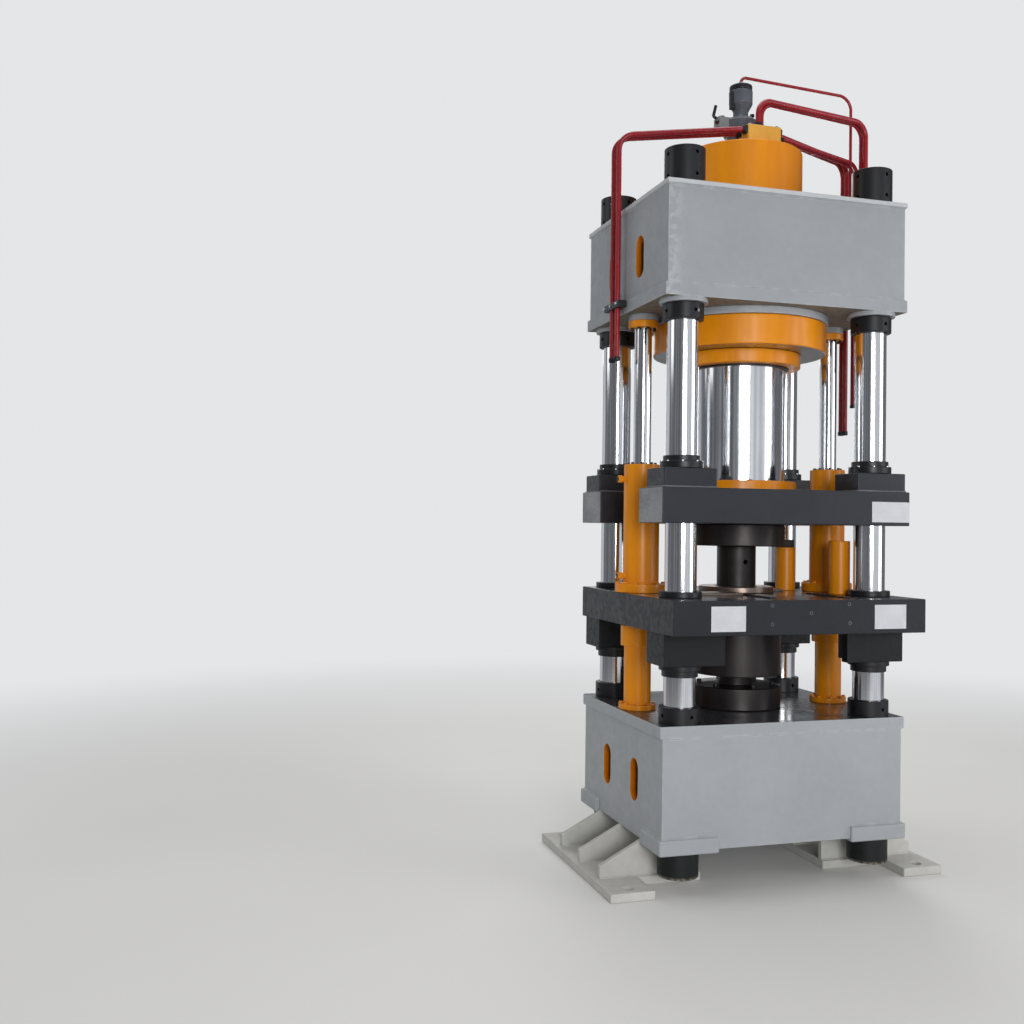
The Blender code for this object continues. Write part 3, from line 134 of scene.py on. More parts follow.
class Graph:
    """Adds nodes to one shader tree and links them."""

    def __init__(self, tree: bpy.types.NodeTree) -> None:
        """Keeps the tree that the nodes go into."""
        self.tree = tree

    def add(self, kind: str, **settings: object) -> bpy.types.Node:
        """Adds a node.

        Args:
            kind: The node's type name.
            settings: Properties to set on it.

        Returns:
            The new node.
        """
        node = self.tree.nodes.new(kind)
        for name, value in settings.items():
            setattr(node, name, value)
        return node

    def feed(self, socket: bpy.types.NodeSocket, value: object) -> None:
        """Links an output to an input, or writes a plain value on it.

        Args:
            socket: The input.
            value: The output that feeds it, or its plain value.
        """
        if isinstance(value, bpy.types.NodeSocket):
            self.tree.links.new(value, socket)
        else:
            socket.default_value = value

    def math(self, operation: str, first: Value, second: Value = 0.0) -> bpy.types.NodeSocket:
        """Adds a Math node.

        Args:
            operation: The node's operation.
            first: Its first value.
            second: Its second value.

        Returns:
            The result's socket.
        """
        node = self.add("ShaderNodeMath", operation=operation)
        self.feed(node.inputs[0], first)
        self.feed(node.inputs[1], second)
        return node.outputs[0]

    def spread(self, value: Value, low: float, high: float, to_low: Value = 0.0, to_high: Value = 1.0
               ) -> bpy.types.NodeSocket:
        """Maps a range of values smoothly onto another.

        Args:
            value: The value to map.
            low: The start of its range.
            high: The end of its range.
            to_low: What the start becomes.
            to_high: What the end becomes.

        Returns:
            The mapped value's socket.
        """
        node = self.add("ShaderNodeMapRange", interpolation_type="SMOOTHSTEP")
        for name, given in (("Value", value), ("From Min", low), ("From Max", high), ("To Min", to_low),
                            ("To Max", to_high)):
            self.feed(node.inputs[name], given)
        return node.outputs["Result"]

    def mix(self, factor: Value, first: object, second: object) -> bpy.types.NodeSocket:
        """Mixes two colours.

        Args:
            factor: How much of the second colour shows.
            first: A colour or a socket.
            second: A colour or a socket.

        Returns:
            The mixed colour's socket.
        """
        node = self.add("ShaderNodeMix", data_type="RGBA")
        self.feed(node.inputs["Factor"], factor)
        for socket, value in ((node.inputs[6], first), (node.inputs[7], second)):
            self.feed(socket, (*value, 1.0) if isinstance(value, tuple) else value)
        return node.outputs[2]

    def noise(self, vector: bpy.types.NodeSocket, scale: Value, detail: float = 4.0) -> bpy.types.NodeSocket:
        """Adds a noise texture.

        Args:
            vector: Where it is read.
            scale: Its scale.
            detail: Its detail.

        Returns:
            The noise value's socket.
        """
        node = self.add("ShaderNodeTexNoise")
        self.feed(node.inputs["Vector"], vector)
        self.feed(node.inputs["Scale"], scale)
        self.feed(node.inputs["Detail"], detail)
        return node.outputs[0]


class SharedGroups:
    """Shader node groups that several finishes use, each built once."""

    def __init__(self) -> None:
        """Builds the groups."""
        self.mottle = self._mottle()
        self.edge_wear = self._edge_wear()
        self.dust = self._dust()
        self.turning_marks = self._turning_marks()

    @staticmethod
    def _start(name: str, inputs: dict[str, float], output: str) -> tuple[bpy.types.NodeTree, Graph, dict]:
        """Opens a group with float inputs and one float output.

        Args:
            name: The group's name.
            inputs: Each input's name and default value.
            output: The output's name.

        Returns:
            The group, its graph, and its input sockets with the output node under "end".
        """
        tree = bpy.data.node_groups.new(name, "ShaderNodeTree")
        for label, value in inputs.items():
            tree.interface.new_socket(label, in_out="INPUT",
                                      socket_type="NodeSocketFloat").default_value = value
        tree.interface.new_socket(output, in_out="OUTPUT", socket_type="NodeSocketFloat")
        graph = Graph(tree)
        start = graph.add("NodeGroupInput")
        ends = {label: start.outputs[label] for label in inputs}
        ends["end"] = graph.add("NodeGroupOutput").inputs[output]
        return tree, graph, ends

    def _mottle(self) -> bpy.types.NodeTree:
        """Makes soft clouds of tone, which can be drawn out along the upright axis.

        Returns:
            The group.
        """
        tree, graph, ends = self._start("Mottle", {"Scale": 3.0, "Upright Squeeze": 1.0}, "Value")
        place = graph.add("ShaderNodeTexCoord").outputs["Object"]
        split = graph.add("ShaderNodeSeparateXYZ")
        graph.feed(split.inputs[0], place)
        joined = graph.add("ShaderNodeCombineXYZ")
        graph.feed(joined.inputs[0], split.outputs[0])
        graph.feed(joined.inputs[1], split.outputs[1])
        graph.feed(joined.inputs[2], graph.math("MULTIPLY", split.outputs[2], ends["Upright Squeeze"]))
        cloud = graph.noise(joined.outputs[0], ends["Scale"], 5.0)
        graph.feed(ends["end"], graph.spread(cloud, 0.30, 0.70))
        return tree

    def _edge_wear(self) -> bpy.types.NodeTree:
        """Makes broken rubbing along edges, found from a rounded normal.

        Returns:
            The group.
        """
        tree, graph, ends = self._start("Edge Wear", {"Radius": 0.004, "Amount": 0.5, "Scale": 24.0}, "Mask")
        rounded = graph.add("ShaderNodeBevel", samples=4)
        graph.feed(rounded.inputs["Radius"], ends["Radius"])
        flat = graph.add("ShaderNodeNewGeometry")
        dot = graph.add("ShaderNodeVectorMath", operation="DOT_PRODUCT")
        graph.feed(dot.inputs[0], rounded.outputs[0])
        graph.feed(dot.inputs[1], flat.outputs["Normal"])
        edge = graph.spread(graph.math("SUBTRACT", 1.0, dot.outputs["Value"]), 0.02, 0.16)
        place = graph.add("ShaderNodeTexCoord").outputs["Object"]
        broken = graph.spread(graph.noise(place, ends["Scale"], 6.0), 0.46, 0.62)
        rubbed = graph.math("MULTIPLY", edge, graph.math("ADD", 0.25, graph.math("MULTIPLY", broken, 0.75)))
        graph.feed(ends["end"], graph.math("MULTIPLY", rubbed, ends["Amount"]))
        return tree

    def _dust(self) -> bpy.types.NodeTree:
        """Makes dust that settles on faces that look up.

        Returns:
            The group.
        """
        tree, graph, ends = self._start("Settled Dust", {"Amount": 0.3, "Scale": 6.0}, "Mask")
        split = graph.add("ShaderNodeSeparateXYZ")
        graph.feed(split.inputs[0], graph.add("ShaderNodeNewGeometry").outputs["Normal"])
        upward = graph.spread(split.outputs[2], 0.55, 0.95)
        place = graph.add("ShaderNodeTexCoord").outputs["Object"]
        cloud = graph.spread(graph.noise(place, ends["Scale"], 6.0), 0.35, 0.68, 0.25, 1.0)
        graph.feed(ends["end"], graph.math("MULTIPLY", graph.math("MULTIPLY", upward, cloud), ends["Amount"]))
        return tree

    def _turning_marks(self) -> bpy.types.NodeTree:
        """Makes the fine rings that a lathe or grinder leaves round a piece's own upright axis.

        Returns:
            The group.
        """
        tree, graph, ends = self._start("Turning Marks", {"Pitch": 400.0}, "Height")
        split = graph.add("ShaderNodeSeparateXYZ")
        graph.feed(split.inputs[0], graph.add("ShaderNodeTexCoord").outputs["Object"])
        across = graph.math("MULTIPLY", split.outputs[0], split.outputs[0])
        along = graph.math("MULTIPLY", split.outputs[1], split.outputs[1])
        radius = graph.math("SQRT", graph.math("ADD", across, along))
        joined = graph.add("ShaderNodeCombineXYZ")
        graph.feed(joined.inputs[0], graph.math("MULTIPLY", radius, ends["Pitch"]))
        graph.feed(joined.inputs[2], graph.math("MULTIPLY", split.outputs[2], ends["Pitch"]))
        graph.feed(ends["end"], graph.noise(joined.outputs[0], 1.0, 3.0))
        return tree


def use_group(graph: Graph, tree: bpy.types.NodeTree, **values: Value) -> bpy.types.NodeSocket:
    """Places a shared group in a material.

    Args:
        graph: The material's graph.
        tree: The group.
        values: Its inputs, with underscores for spaces.

    Returns:
        The group's output socket.
    """
    node = graph.add("ShaderNodeGroup", node_tree=tree)
    for name, value in values.items():
        graph.feed(node.inputs[name.replace("_", " ")], value)
    return node.outputs[0]


def open_material(name: str) -> tuple[bpy.types.Material, Graph, bpy.types.Node]:
    """Makes an empty material around a Principled shader.

    Args:
        name: The material's name.

    Returns:
        The material, its graph and the shader node.
    """
    material = bpy.data.materials.new(name)
    material.use_nodes = True
    return material, Graph(material.node_tree), material.node_tree.nodes["Principled BSDF"]


def add_bump(graph: Graph, shader: bpy.types.Node, height: bpy.types.NodeSocket, depth: float) -> None:
    """Feeds a height into the shader's normal.

    Args:
        graph: The material's graph.
        shader: The shader node.
        height: The height's socket.
        depth: How far the height reaches, in metres.
    """
    bump = graph.add("ShaderNodeBump")
    bump.inputs["Strength"].default_value = 1.0
    bump.inputs["Distance"].default_value = depth
    graph.feed(bump.inputs["Height"], height)
    graph.feed(shader.inputs["Normal"], bump.outputs["Normal"])


@dataclass(frozen=True)
class PaintFinish:
    """Sprayed machine paint with soft clouds of tone, settled dust and rubbed edges."""

    name: str
    colour: Colour
    shaded: Colour
    worn: Colour
    roughness: float
    cloud_scale: float = 2.2
    squeeze: float = 1.0
    wear: float = 0.5
    wear_radius: float = 0.004
    dust: float = 0.35
    coat: float = 0.0
    peel_depth: float = 0.00035
    dust_colour: Colour = srgb(168, 160, 148)
    foot_dust: float = 0.0
    specular: float = 0.5
    scuff_x: float = 0.0
    # Where set, paint nearer the middle along X than this turns into painted shade.
    shade_inside_x: float = 0.0
    pocket_shade_colour: Colour = srgb(44, 26, 14)

    def material(self, groups: SharedGroups) -> bpy.types.Material:
        """Builds the paint's material.

        Args:
            groups: The shared node groups.

        Returns:
            The material.
        """
        material, graph, shader = open_material(self.name)
        clouds = use_group(graph, groups.mottle, Scale=self.cloud_scale, Upright_Squeeze=self.squeeze)
        specks = use_group(graph, groups.mottle, Scale=self.cloud_scale * 11, Upright_Squeeze=self.squeeze)
        tone = graph.math("ADD", graph.math("MULTIPLY", clouds, 0.7), graph.math("MULTIPLY", specks, 0.3))
        painted = graph.mix(tone, self.colour, self.shaded)
        settled = use_group(graph, groups.dust, Amount=self.dust, Scale=5.0)
        dusty = graph.mix(settled, painted, self.dust_colour)
        if self.foot_dust > 0:
            split = graph.add("ShaderNodeSeparateXYZ")
            graph.feed(split.inputs[0], graph.add("ShaderNodeTexCoord").outputs["Object"])
            low = graph.spread(split.outputs[2], 0.0, self.foot_dust, 0.75, 0.0)
            dusty = graph.mix(graph.math("MULTIPLY", low, specks), dusty, self.dust_colour)
        if self.wear > 0:
            rubbed = use_group(graph, groups.edge_wear, Radius=self.wear_radius, Amount=self.wear, Scale=18.0)
            dusty = graph.mix(rubbed, dusty, self.worn)
        if self.scuff_x > 0:
            dusty = graph.mix(self._scuffs(graph, groups), dusty, self.worn)
        # Painted shade: the colour turns dark brown deeper inside a pocket, as the distance from the middle
        # along X falls below the set limit.
        if self.shade_inside_x > 0:
            split = graph.add("ShaderNodeSeparateXYZ")
            graph.feed(split.inputs[0], graph.add("ShaderNodeTexCoord").outputs["Object"])
            pocket_shade = graph.spread(graph.math("ABSOLUTE", split.outputs[0]), self.shade_inside_x - 0.024, self.shade_inside_x,
                                1.0, 0.0)
            dusty = graph.mix(pocket_shade, dusty, self.pocket_shade_colour)
        graph.feed(shader.inputs["Base Color"], dusty)
        shader.inputs["Specular IOR Level"].default_value = self.specular
        gloss = graph.spread(specks, 0.0, 1.0, self.roughness - 0.05, self.roughness + 0.07)
        graph.feed(shader.inputs["Roughness"], graph.math("ADD", gloss, graph.math("MULTIPLY", settled, 0.3)))
        shader.inputs["Coat Weight"].default_value = self.coat
        shader.inputs["Coat Roughness"].default_value = 0.08
        place = graph.add("ShaderNodeTexCoord").outputs["Object"]
        peel = graph.math("ADD", graph.noise(place, 210.0, 2.0),
                          graph.math("MULTIPLY", graph.noise(place, 26.0), 1.5))
        add_bump(graph, shader, peel, self.peel_depth)
        return material

    def _scuffs(self, graph: Graph, groups: SharedGroups) -> bpy.types.NodeSocket:
        """Gives pale rubbed blotches on front faces, beside the left upright edge.

        Args:
            graph: The material's graph.
            groups: The shared node groups.

        Returns:
            The mask's socket.
        """
        place = graph.add("ShaderNodeTexCoord").outputs
        split = graph.add("ShaderNodeSeparateXYZ")
        graph.feed(split.inputs[0], place["Object"])
        way = graph.add("ShaderNodeSeparateXYZ")
        graph.feed(way.inputs[0], place["Normal"])
        near = graph.spread(split.outputs[0], -self.scuff_x, -self.scuff_x + 0.10, 0.30, 0.0)
        front = graph.spread(way.outputs[1], -0.9, -0.5, 1.0, 0.0)
        blotches = use_group(graph, groups.mottle, Scale=34.0, Upright_Squeeze=1.0)
        return graph.math("MULTIPLY", graph.math("MULTIPLY", near, front), graph.spread(blotches, 0.30, 0.90))


@dataclass(frozen=True)
class GroundSteelFinish:
    """Turned or ground metal with rings round its axis and a film of oil."""

    name: str
    colour: Colour
    filmed: Colour
    roughness: float
    rough_spread: float = 0.06
    ring_depth: float = 0.00003
    pitch: float = 420.0
    wear: float = 0.0
    worn: Colour = srgb(150, 148, 146)
    metallic: float = 1.0

    def material(self, groups: SharedGroups) -> bpy.types.Material:
        """Builds the metal's material.

        Args:
            groups: The shared node groups.

        Returns:
            The material.
        """
        material, graph, shader = open_material(self.name)
        film = use_group(graph, groups.mottle, Scale=7.0, Upright_Squeeze=0.35)
        rings = use_group(graph, groups.turning_marks, Pitch=self.pitch)
        metal = graph.mix(graph.math("MULTIPLY", film, 0.6), self.colour, self.filmed)
        if self.wear > 0:
            rubbed = use_group(graph, groups.edge_wear, Radius=0.003, Amount=self.wear, Scale=40.0)
            metal = graph.mix(rubbed, metal, self.worn)
        graph.feed(shader.inputs["Base Color"], metal)
        shader.inputs["Metallic"].default_value = self.metallic
        grain = graph.math("MULTIPLY", graph.math("ADD", film, rings), 0.5)
        rough = graph.spread(grain, 0.2, 0.8, self.roughness, self.roughness + self.rough_spread)
        graph.feed(shader.inputs["Roughness"], rough)
        add_bump(graph, shader, rings, self.ring_depth)
        return material


@dataclass(frozen=True)
class TableFinish:
    """Milled work surface, browned by oil, with straight cutter lines and stains."""

    name: str
    colour: Colour
    stained: Colour
    roughness: float
    line_scale: float = 130.0

    def material(self, groups: SharedGroups) -> bpy.types.Material:
        """Builds the table's material.

        Args:
            groups: The shared node groups.

        Returns:
            The material.
        """
        material, graph, shader = open_material(self.name)
        stains = use_group(graph, groups.mottle, Scale=3.2, Upright_Squeeze=1.0)
        spots = use_group(graph, groups.mottle, Scale=17.0, Upright_Squeeze=1.0)
        split = graph.add("ShaderNodeSeparateXYZ")
        graph.feed(split.inputs[0], graph.add("ShaderNodeTexCoord").outputs["Object"])
        joined = graph.add("ShaderNodeCombineXYZ")
        graph.feed(joined.inputs[0], split.outputs[0])
        graph.feed(joined.inputs[1], graph.math("MULTIPLY", split.outputs[1], 0.02))
        lines = graph.noise(joined.outputs[0], self.line_scale, 3.0)
        tone = graph.math("ADD", graph.math("MULTIPLY", stains, 0.65), graph.math("MULTIPLY", spots, 0.35))
        graph.feed(shader.inputs["Base Color"], graph.mix(tone, self.colour, self.stained))
        shader.inputs["Metallic"].default_value = 0.7
        rough = graph.spread(tone, 0.2, 0.9, self.roughness, self.roughness + 0.16)
        graph.feed(shader.inputs["Roughness"], rough)
        add_bump(graph, shader, lines, 0.00004)
        return material


class Finishes:
    """Every material of the press."""

    def __init__(self) -> None:
        """Builds the shared groups and the materials."""
        groups = SharedGroups()
        self._paints(groups)
        self._metals(groups)

    def _paints(self, groups: SharedGroups) -> None:
        """Mixes the paints.

        Args:
            groups: The shared node groups.
        """
        self.grey = PaintFinish(
            "grey_enamel", srgb(164, 168, 173), srgb(155, 159, 163), srgb(203, 206, 207), 0.42, wear=0.6,
            wear_radius=0.012, dust=0.25, specular=0.35).material(groups)
        # The crown's grey is the bed's grey paint mixed darker as painted shade; its pale blotches near the
        # left edge are scuffs.
        self.crown_shaded_grey = PaintFinish(
            "crown_enamel_with_shade", srgb(155, 159, 164), srgb(147, 151, 156), srgb(203, 206, 207), 0.42, wear=0.6,
            wear_radius=0.012, dust=0.25, specular=0.35, scuff_x=0.634).material(groups)
        # Painted highlight: the crown top plate's rim in a paler grey, where light catches its edge.
        self.rim_highlight_grey = PaintFinish(
            "rim_painted_highlight", srgb(192, 196, 200), srgb(178, 182, 186), srgb(170, 160, 146), 0.4, wear=0.5,
            wear_radius=0.008, dust=0.2, specular=0.35).material(groups)
        # Painted shade: the crown's downward faces in a darker, brownish copy of its grey paint.
        self.underside_shade_grey = PaintFinish(
            "underside_painted_shade", srgb(118, 114, 106), srgb(98, 92, 82), srgb(168, 168, 164), 0.5, wear=0.3,
            wear_radius=0.009, dust=0.0, specular=0.3).material(groups)
        self.cream = PaintFinish(
            "foot_cream", srgb(200, 199, 195), srgb(182, 182, 177), srgb(120, 116, 108), 0.55, wear=0.45,
            dust=0.35).material(groups)
        self.slate = PaintFinish(
            "slate_enamel", srgb(32, 35, 44), srgb(26, 29, 36), srgb(104, 107, 112), 0.40, cloud_scale=3.0,
            wear=0.4, dust=0.16, specular=0.35).material(groups)
        # Painted shade: the slide's slate paint mixed darker for the platen, which sits low in shadow.
        self.platen_shade_slate = PaintFinish(
            "platen_shade_slate", srgb(30, 32, 39), srgb(23, 25, 31), srgb(92, 95, 100), 0.42, cloud_scale=3.0,
            wear=0.4, dust=0.10, specular=0.3).material(groups)
        # Painted shade: near-black slate for the bosses under the platen, which sit in its shadow.
        self.boss_shade_slate = PaintFinish(
            "boss_shade_slate", srgb(20, 22, 26), srgb(15, 17, 20), srgb(70, 73, 78), 0.46, cloud_scale=3.0,
            wear=0.3, dust=0.05, specular=0.25).material(groups)
        # Painted highlight: the slide's weld beads in a much paler slate, standing in for the bright line
        # that light draws along them.
        self.weld_bead_highlight = PaintFinish(
            "weld_bead_highlight", srgb(112, 115, 120), srgb(84, 87, 92), srgb(140, 142, 146), 0.36, cloud_scale=9.0,
            wear=0.2, dust=0.2).material(groups)
        self.orange = PaintFinish(
            "orange_enamel", srgb(236, 150, 10), srgb(208, 122, 3), srgb(244, 190, 90), 0.34, squeeze=0.12,
            wear=0.3, dust=0.06, specular=0.3, coat=0.06).material(groups)
        # Orange paint inside the slot pockets, with painted shade that darkens it deeper in.
        self.pocket_orange_and_shade = PaintFinish(
            "pocket_orange_and_shade", srgb(214, 124, 8), srgb(192, 104, 4), srgb(244, 184, 84), 0.4, wear=0.3,
            dust=0.06, specular=0.25, shade_inside_x=0.616).material(groups)
        self.yellow = PaintFinish(
            "manifold_yellow", srgb(222, 166, 60), srgb(206, 146, 44), srgb(238, 206, 140), 0.32,
            cloud_scale=12.0, squeeze=0.4, wear=0.5, dust=0.2, coat=0.25).material(groups)
        # Slide end faces: scuffed, and painted much lighter as painted sheen of light falling from the left.
        self.scuffed_and_lit_slate = PaintFinish(
            "scuffed_slate_with_sheen", srgb(140, 142, 145), srgb(104, 107, 112), srgb(188, 188, 188), 0.40,
            cloud_scale=7.0, wear=0.6, wear_radius=0.012, dust=0.2).material(groups)
        # Painted shade: dark brown for the far end of the slot pockets, where no light reaches.
        self.pocket_end_shade = PaintFinish(
            "pocket_end_painted_shade", srgb(74, 42, 16), srgb(52, 30, 14), srgb(90, 56, 26), 0.5, wear=0.0,
            dust=0.2).material(groups)
        self.red = PaintFinish(
            "red_enamel", srgb(152, 20, 34), srgb(126, 12, 24), srgb(190, 84, 86), 0.30, cloud_scale=4.0,
            squeeze=0.3, wear=0.0, dust=0.0, specular=0.4, peel_depth=0.00001).material(groups)
        self.valve = PaintFinish(
            "valve_grey", srgb(94, 99, 108), srgb(74, 79, 88), srgb(160, 164, 170), 0.34, cloud_scale=14.0,
            wear=0.5, dust=0.2, specular=0.35).material(groups)
        self.box_grey = PaintFinish(
            "valve_box_grey", srgb(140, 144, 148), srgb(118, 122, 126), srgb(176, 178, 180), 0.4,
            cloud_scale=14.0, wear=0.4, dust=0.2, specular=0.35).material(groups)
        self.silver = PaintFinish(
            "plate_silver", srgb(206, 208, 213), srgb(192, 194, 200), srgb(222, 222, 222), 0.4,
            cloud_scale=9.0, wear=0.1, dust=0.0, peel_depth=0.0001).material(groups)
        self.base_black = PaintFinish(
            "base_nut_black", srgb(16, 20, 21), srgb(12, 15, 16), srgb(70, 76, 76), 0.5, cloud_scale=8.0,
            wear=0.3, dust=0.1, foot_dust=0.018, specular=0.3).material(groups)

    def _metals(self, groups: SharedGroups) -> None:
        """Makes the bare and blackened metals.

        Args:
            groups: The shared node groups.
        """
        self.chrome = GroundSteelFinish(
            "ground_chrome", srgb(214, 216, 219), srgb(188, 190, 194), 0.10, 0.04).material(groups)
        self.machined = GroundSteelFinish(
            "machined_face", srgb(172, 173, 172), srgb(140, 138, 134), 0.26, 0.10, 0.00008,
            260.0).material(groups)
        self.black = GroundSteelFinish(
            "black_oxide", srgb(30, 31, 36), srgb(20, 20, 24), 0.36, 0.12, 0.00006, 260.0, 0.4,
            srgb(92, 94, 100), 0.4).material(groups)
        self.tool = GroundSteelFinish(
            "tool_steel", srgb(56, 52, 52), srgb(36, 34, 36), 0.36, 0.16, 0.0001, 180.0, 0.45,
            srgb(128, 120, 112), 0.8).material(groups)
        self.browned = GroundSteelFinish(
            "browned_steel", srgb(126, 112, 104), srgb(84, 70, 62), 0.30, 0.16, 0.0001, 180.0, 0.4,
            srgb(170, 160, 150), 0.85).material(groups)
        self.screw_grey = GroundSteelFinish(
            "dull_screws", srgb(104, 106, 110), srgb(80, 82, 86), 0.4).material(groups)
        self.zinc = GroundSteelFinish(
            "zinc_screws", srgb(176, 178, 182), srgb(140, 140, 142), 0.22).material(groups)
        self.table = TableFinish(
            "milled_table", srgb(122, 126, 134), srgb(70, 69, 72), 0.15).material(groups)


def softened(outline: Sequence[Point], radius: float, closed: bool, steps: int = 4) -> list[Point]:
    """Rounds the corners of an outline.

    Args:
        outline: The outline's corners.
        radius: How far from a corner the rounding starts.
        closed: Whether the last corner joins the first.
        steps: Points in each rounding, less one.

    Returns:
        The rounded outline.
    """
    if radius <= 0:
        return list(outline)
    count = len(outline)
    rounded: list[Point] = []
    for index, corner in enumerate(outline):
        here = Vector(corner)
        if not closed and index in (0, count - 1):
            rounded.append(tuple(here))
            continue
        before = Vector(outline[index - 1]) - here
        after = Vector(outline[(index + 1) % count]) - here
        reach = min(radius, before.length * 0.45, after.length * 0.45)
        start = here + before.normalized() * reach
        end = here + after.normalized() * reach
        for step in range(steps + 1):
            share = step / steps
            rounded.append(tuple(start * (1 - share) ** 2 + here * 2 * share * (1 - share)
                                 + end * share ** 2))
    return rounded


def bent_route(corners: Sequence[Place], radii: Sequence[float], steps: int = 12) -> list[Vector]:
    """Turns corners into a route with round bends.

    Args:
        corners: The route's corners.
        radii: The bend radius at each inner corner.
        steps: Points in each bend, less one.

    Returns:
        The route's points.
    """
    places = [Vector(corner) for corner in corners]
    route = [places[0]]
    for before, corner, after, radius in zip(places, places[1:], places[2:], radii):
        into = (before - corner).normalized()
        out = (after - corner).normalized()
        half = into.angle(out) / 2
        leg = radius / math.tan(half)
        centre = corner + (into + out).normalized() * (radius / math.sin(half))
        start = corner + into * leg - centre
        end = corner + out * leg - centre
        sweep = start.angle(end)
        for step in range(steps + 1):
            share = step / steps
            first = math.sin((1 - share) * sweep) / math.sin(sweep)
            last = math.sin(share * sweep) / math.sin(sweep)
            route.append(centre + start * first + end * last)
    route.append(places[-1])
    return route


class Stock:
    """Metal that one piece is made from: shapes are added, then it is placed as an object."""

    def __init__(self) -> None:
        """Starts with nothing."""
        self.shape = bmesh.new()

    def _join(self, extra: bmesh.types.BMesh, finish: int, place: Matrix) -> None:
        """Adds another shape, with its faces outward.

        Args:
            extra: The shape.
            finish: Its finish number.
            place: Where it goes.
        """
        bmesh.ops.recalc_face_normals(extra, faces=extra.faces)
        for face in extra.faces:
            face.material_index = finish
            face.smooth = True
        bmesh.ops.transform(extra, matrix=place, verts=extra.verts)
        mesh = bpy.data.meshes.new("extra")
        extra.to_mesh(mesh)
        extra.free()
        self.shape.from_mesh(mesh)
        bpy.data.meshes.remove(mesh)

    def turned(self, outline: Sequence[Point], place: Matrix = Matrix.Identity(4), closed: bool = False,
               soft: float = 0.0, steps: int = RING_STEPS, finish: int = 0) -> None:
        """Adds a turned shape.

        Args:
            outline: (radius, height) corners from the top down the outer side.
            place: Where it goes.
            closed: Whether the outline makes a ring.
            soft: How far its corners are rounded.
            steps: Its facets.
            finish: Its finish number.
        """
        extra = bmesh.new()
        rings = []
        for radius, height in softened(outline, soft, closed):
            if radius < ON_AXIS:
                rings.append([extra.verts.new((0, 0, height))])
            else:
                rings.append([extra.verts.new((radius * math.cos(math.tau * step / steps),
                                               radius * math.sin(math.tau * step / steps), height))
                              for step in range(steps)])
        pairs = list(zip(rings, rings[1:]))
        if closed:
            pairs.append((rings[-1], rings[0]))
        for upper, lower in pairs:
            for step in range(steps):
                after = (step + 1) % steps
                corners = [upper[step % len(upper)], upper[after % len(upper)], lower[after % len(lower)],
                           lower[step % len(lower)]]
                unique = list(dict.fromkeys(corners))
                if len(unique) > 2:
                    extra.faces.new(unique)
        self._join(extra, finish, place)

    def slab(self, outline: Sequence[Point], bottom: float, top: float, soft: float,
             place: Matrix = Matrix.Identity(4), finish: int = 0, steps: int = 3) -> None:
        """Adds a flat outline raised to a thickness, with rounded edges.

        Args:
            outline: Its (x, y) corners.
            bottom: Its lower height.
            top: Its upper height.
            soft: The rounding of its edges.
            place: Where it goes.
            finish: Its finish number.
            steps: Facets in each rounding.
        """
        extra = bmesh.new()
        face = extra.faces.new([extra.verts.new((x, y, bottom)) for x, y in outline])
        raised = bmesh.ops.extrude_face_region(extra, geom=[face])["geom"]
        tops = [item for item in raised if isinstance(item, bmesh.types.BMVert)]
        bmesh.ops.translate(extra, verts=tops, vec=(0, 0, top - bottom))
        bmesh.ops.recalc_face_normals(extra, faces=extra.faces)
        if soft > 0:
            edges = [edge for edge in extra.edges if edge.calc_face_angle(0.0) > BEVEL_ANGLE]
            bmesh.ops.bevel(extra, geom=edges, offset=soft, offset_type="OFFSET", segments=steps, profile=0.5,
                            affect="EDGES", clamp_overlap=True)
        self._join(extra, finish, place)

    def block(self, low: Sequence[float], high: Sequence[float], soft: float, finish: int = 0) -> None:
        """Adds a box between two corners, with rounded edges."""
        outline = [(low[0], low[1]), (high[0], low[1]), (high[0], high[1]), (low[0], high[1])]
        self.slab(outline, low[2], high[2], soft, finish=finish)

    def tube(self, route: Sequence[Vector], radius: Union[float, Callable[[float], float]], finish: int = 0,
             sides: int = 20) -> None:
        """Adds a round bar along a route.

        Args:
            route: The points it follows.
            radius: Its radius, or a function of the length along it.
            finish: Its finish number.
            sides: Its facets round.
        """
        extra = bmesh.new()
        rings = []
        run = 0.0
        across = None
        for index, point in enumerate(route):
            ahead = route[min(index + 1, len(route) - 1)] - route[max(index - 1, 0)]
            ahead.normalize()
            if across is None:
                across = ahead.orthogonal().normalized()
            across = (across - ahead * across.dot(ahead)).normalized()
            other = ahead.cross(across)
            if index:
                run += (point - route[index - 1]).length
            size = radius(run) if callable(radius) else radius
            rings.append([extra.verts.new(point + across * (size * math.cos(math.tau * step / sides))
                                          + other * (size * math.sin(math.tau * step / sides)))
                          for step in range(sides)])
        for near, far in zip(rings, rings[1:]):
            for step in range(sides):
                after = (step + 1) % sides
                extra.faces.new((near[step], near[after], far[after], far[step]))
        extra.faces.new(rings[0])
        extra.faces.new(rings[-1])
        self._join(extra, finish, Matrix.Identity(4))

    def weld(self, start: Place, end: Place, radius: float, pitch: float = 0.009, finish: int = 0) -> None:
        """Adds a rippled weld bead along a straight seam.

        Args:
            start: Where it starts.
            end: Where it ends.
            radius: The bead's radius.
            pitch: The length of one ripple.
            finish: Its finish number.
        """
        first = Vector(start)
        last = Vector(end)
        count = max(4, round((last - first).length / pitch) * 3)
        route = [first.lerp(last, step / count) for step in range(count + 1)]

        def ripple(run: float) -> float:
            """Gives the bead's radius.

            Args:
                run: The length along the bead.

            Returns:
                The radius there.
            """
            wave = abs(math.sin(math.pi * run / pitch))
            slow = math.sin(run * 31.0) * 0.06
            return radius * (0.82 + 0.18 * wave + slow)

        self.tube(route, ripple, finish, sides=8)

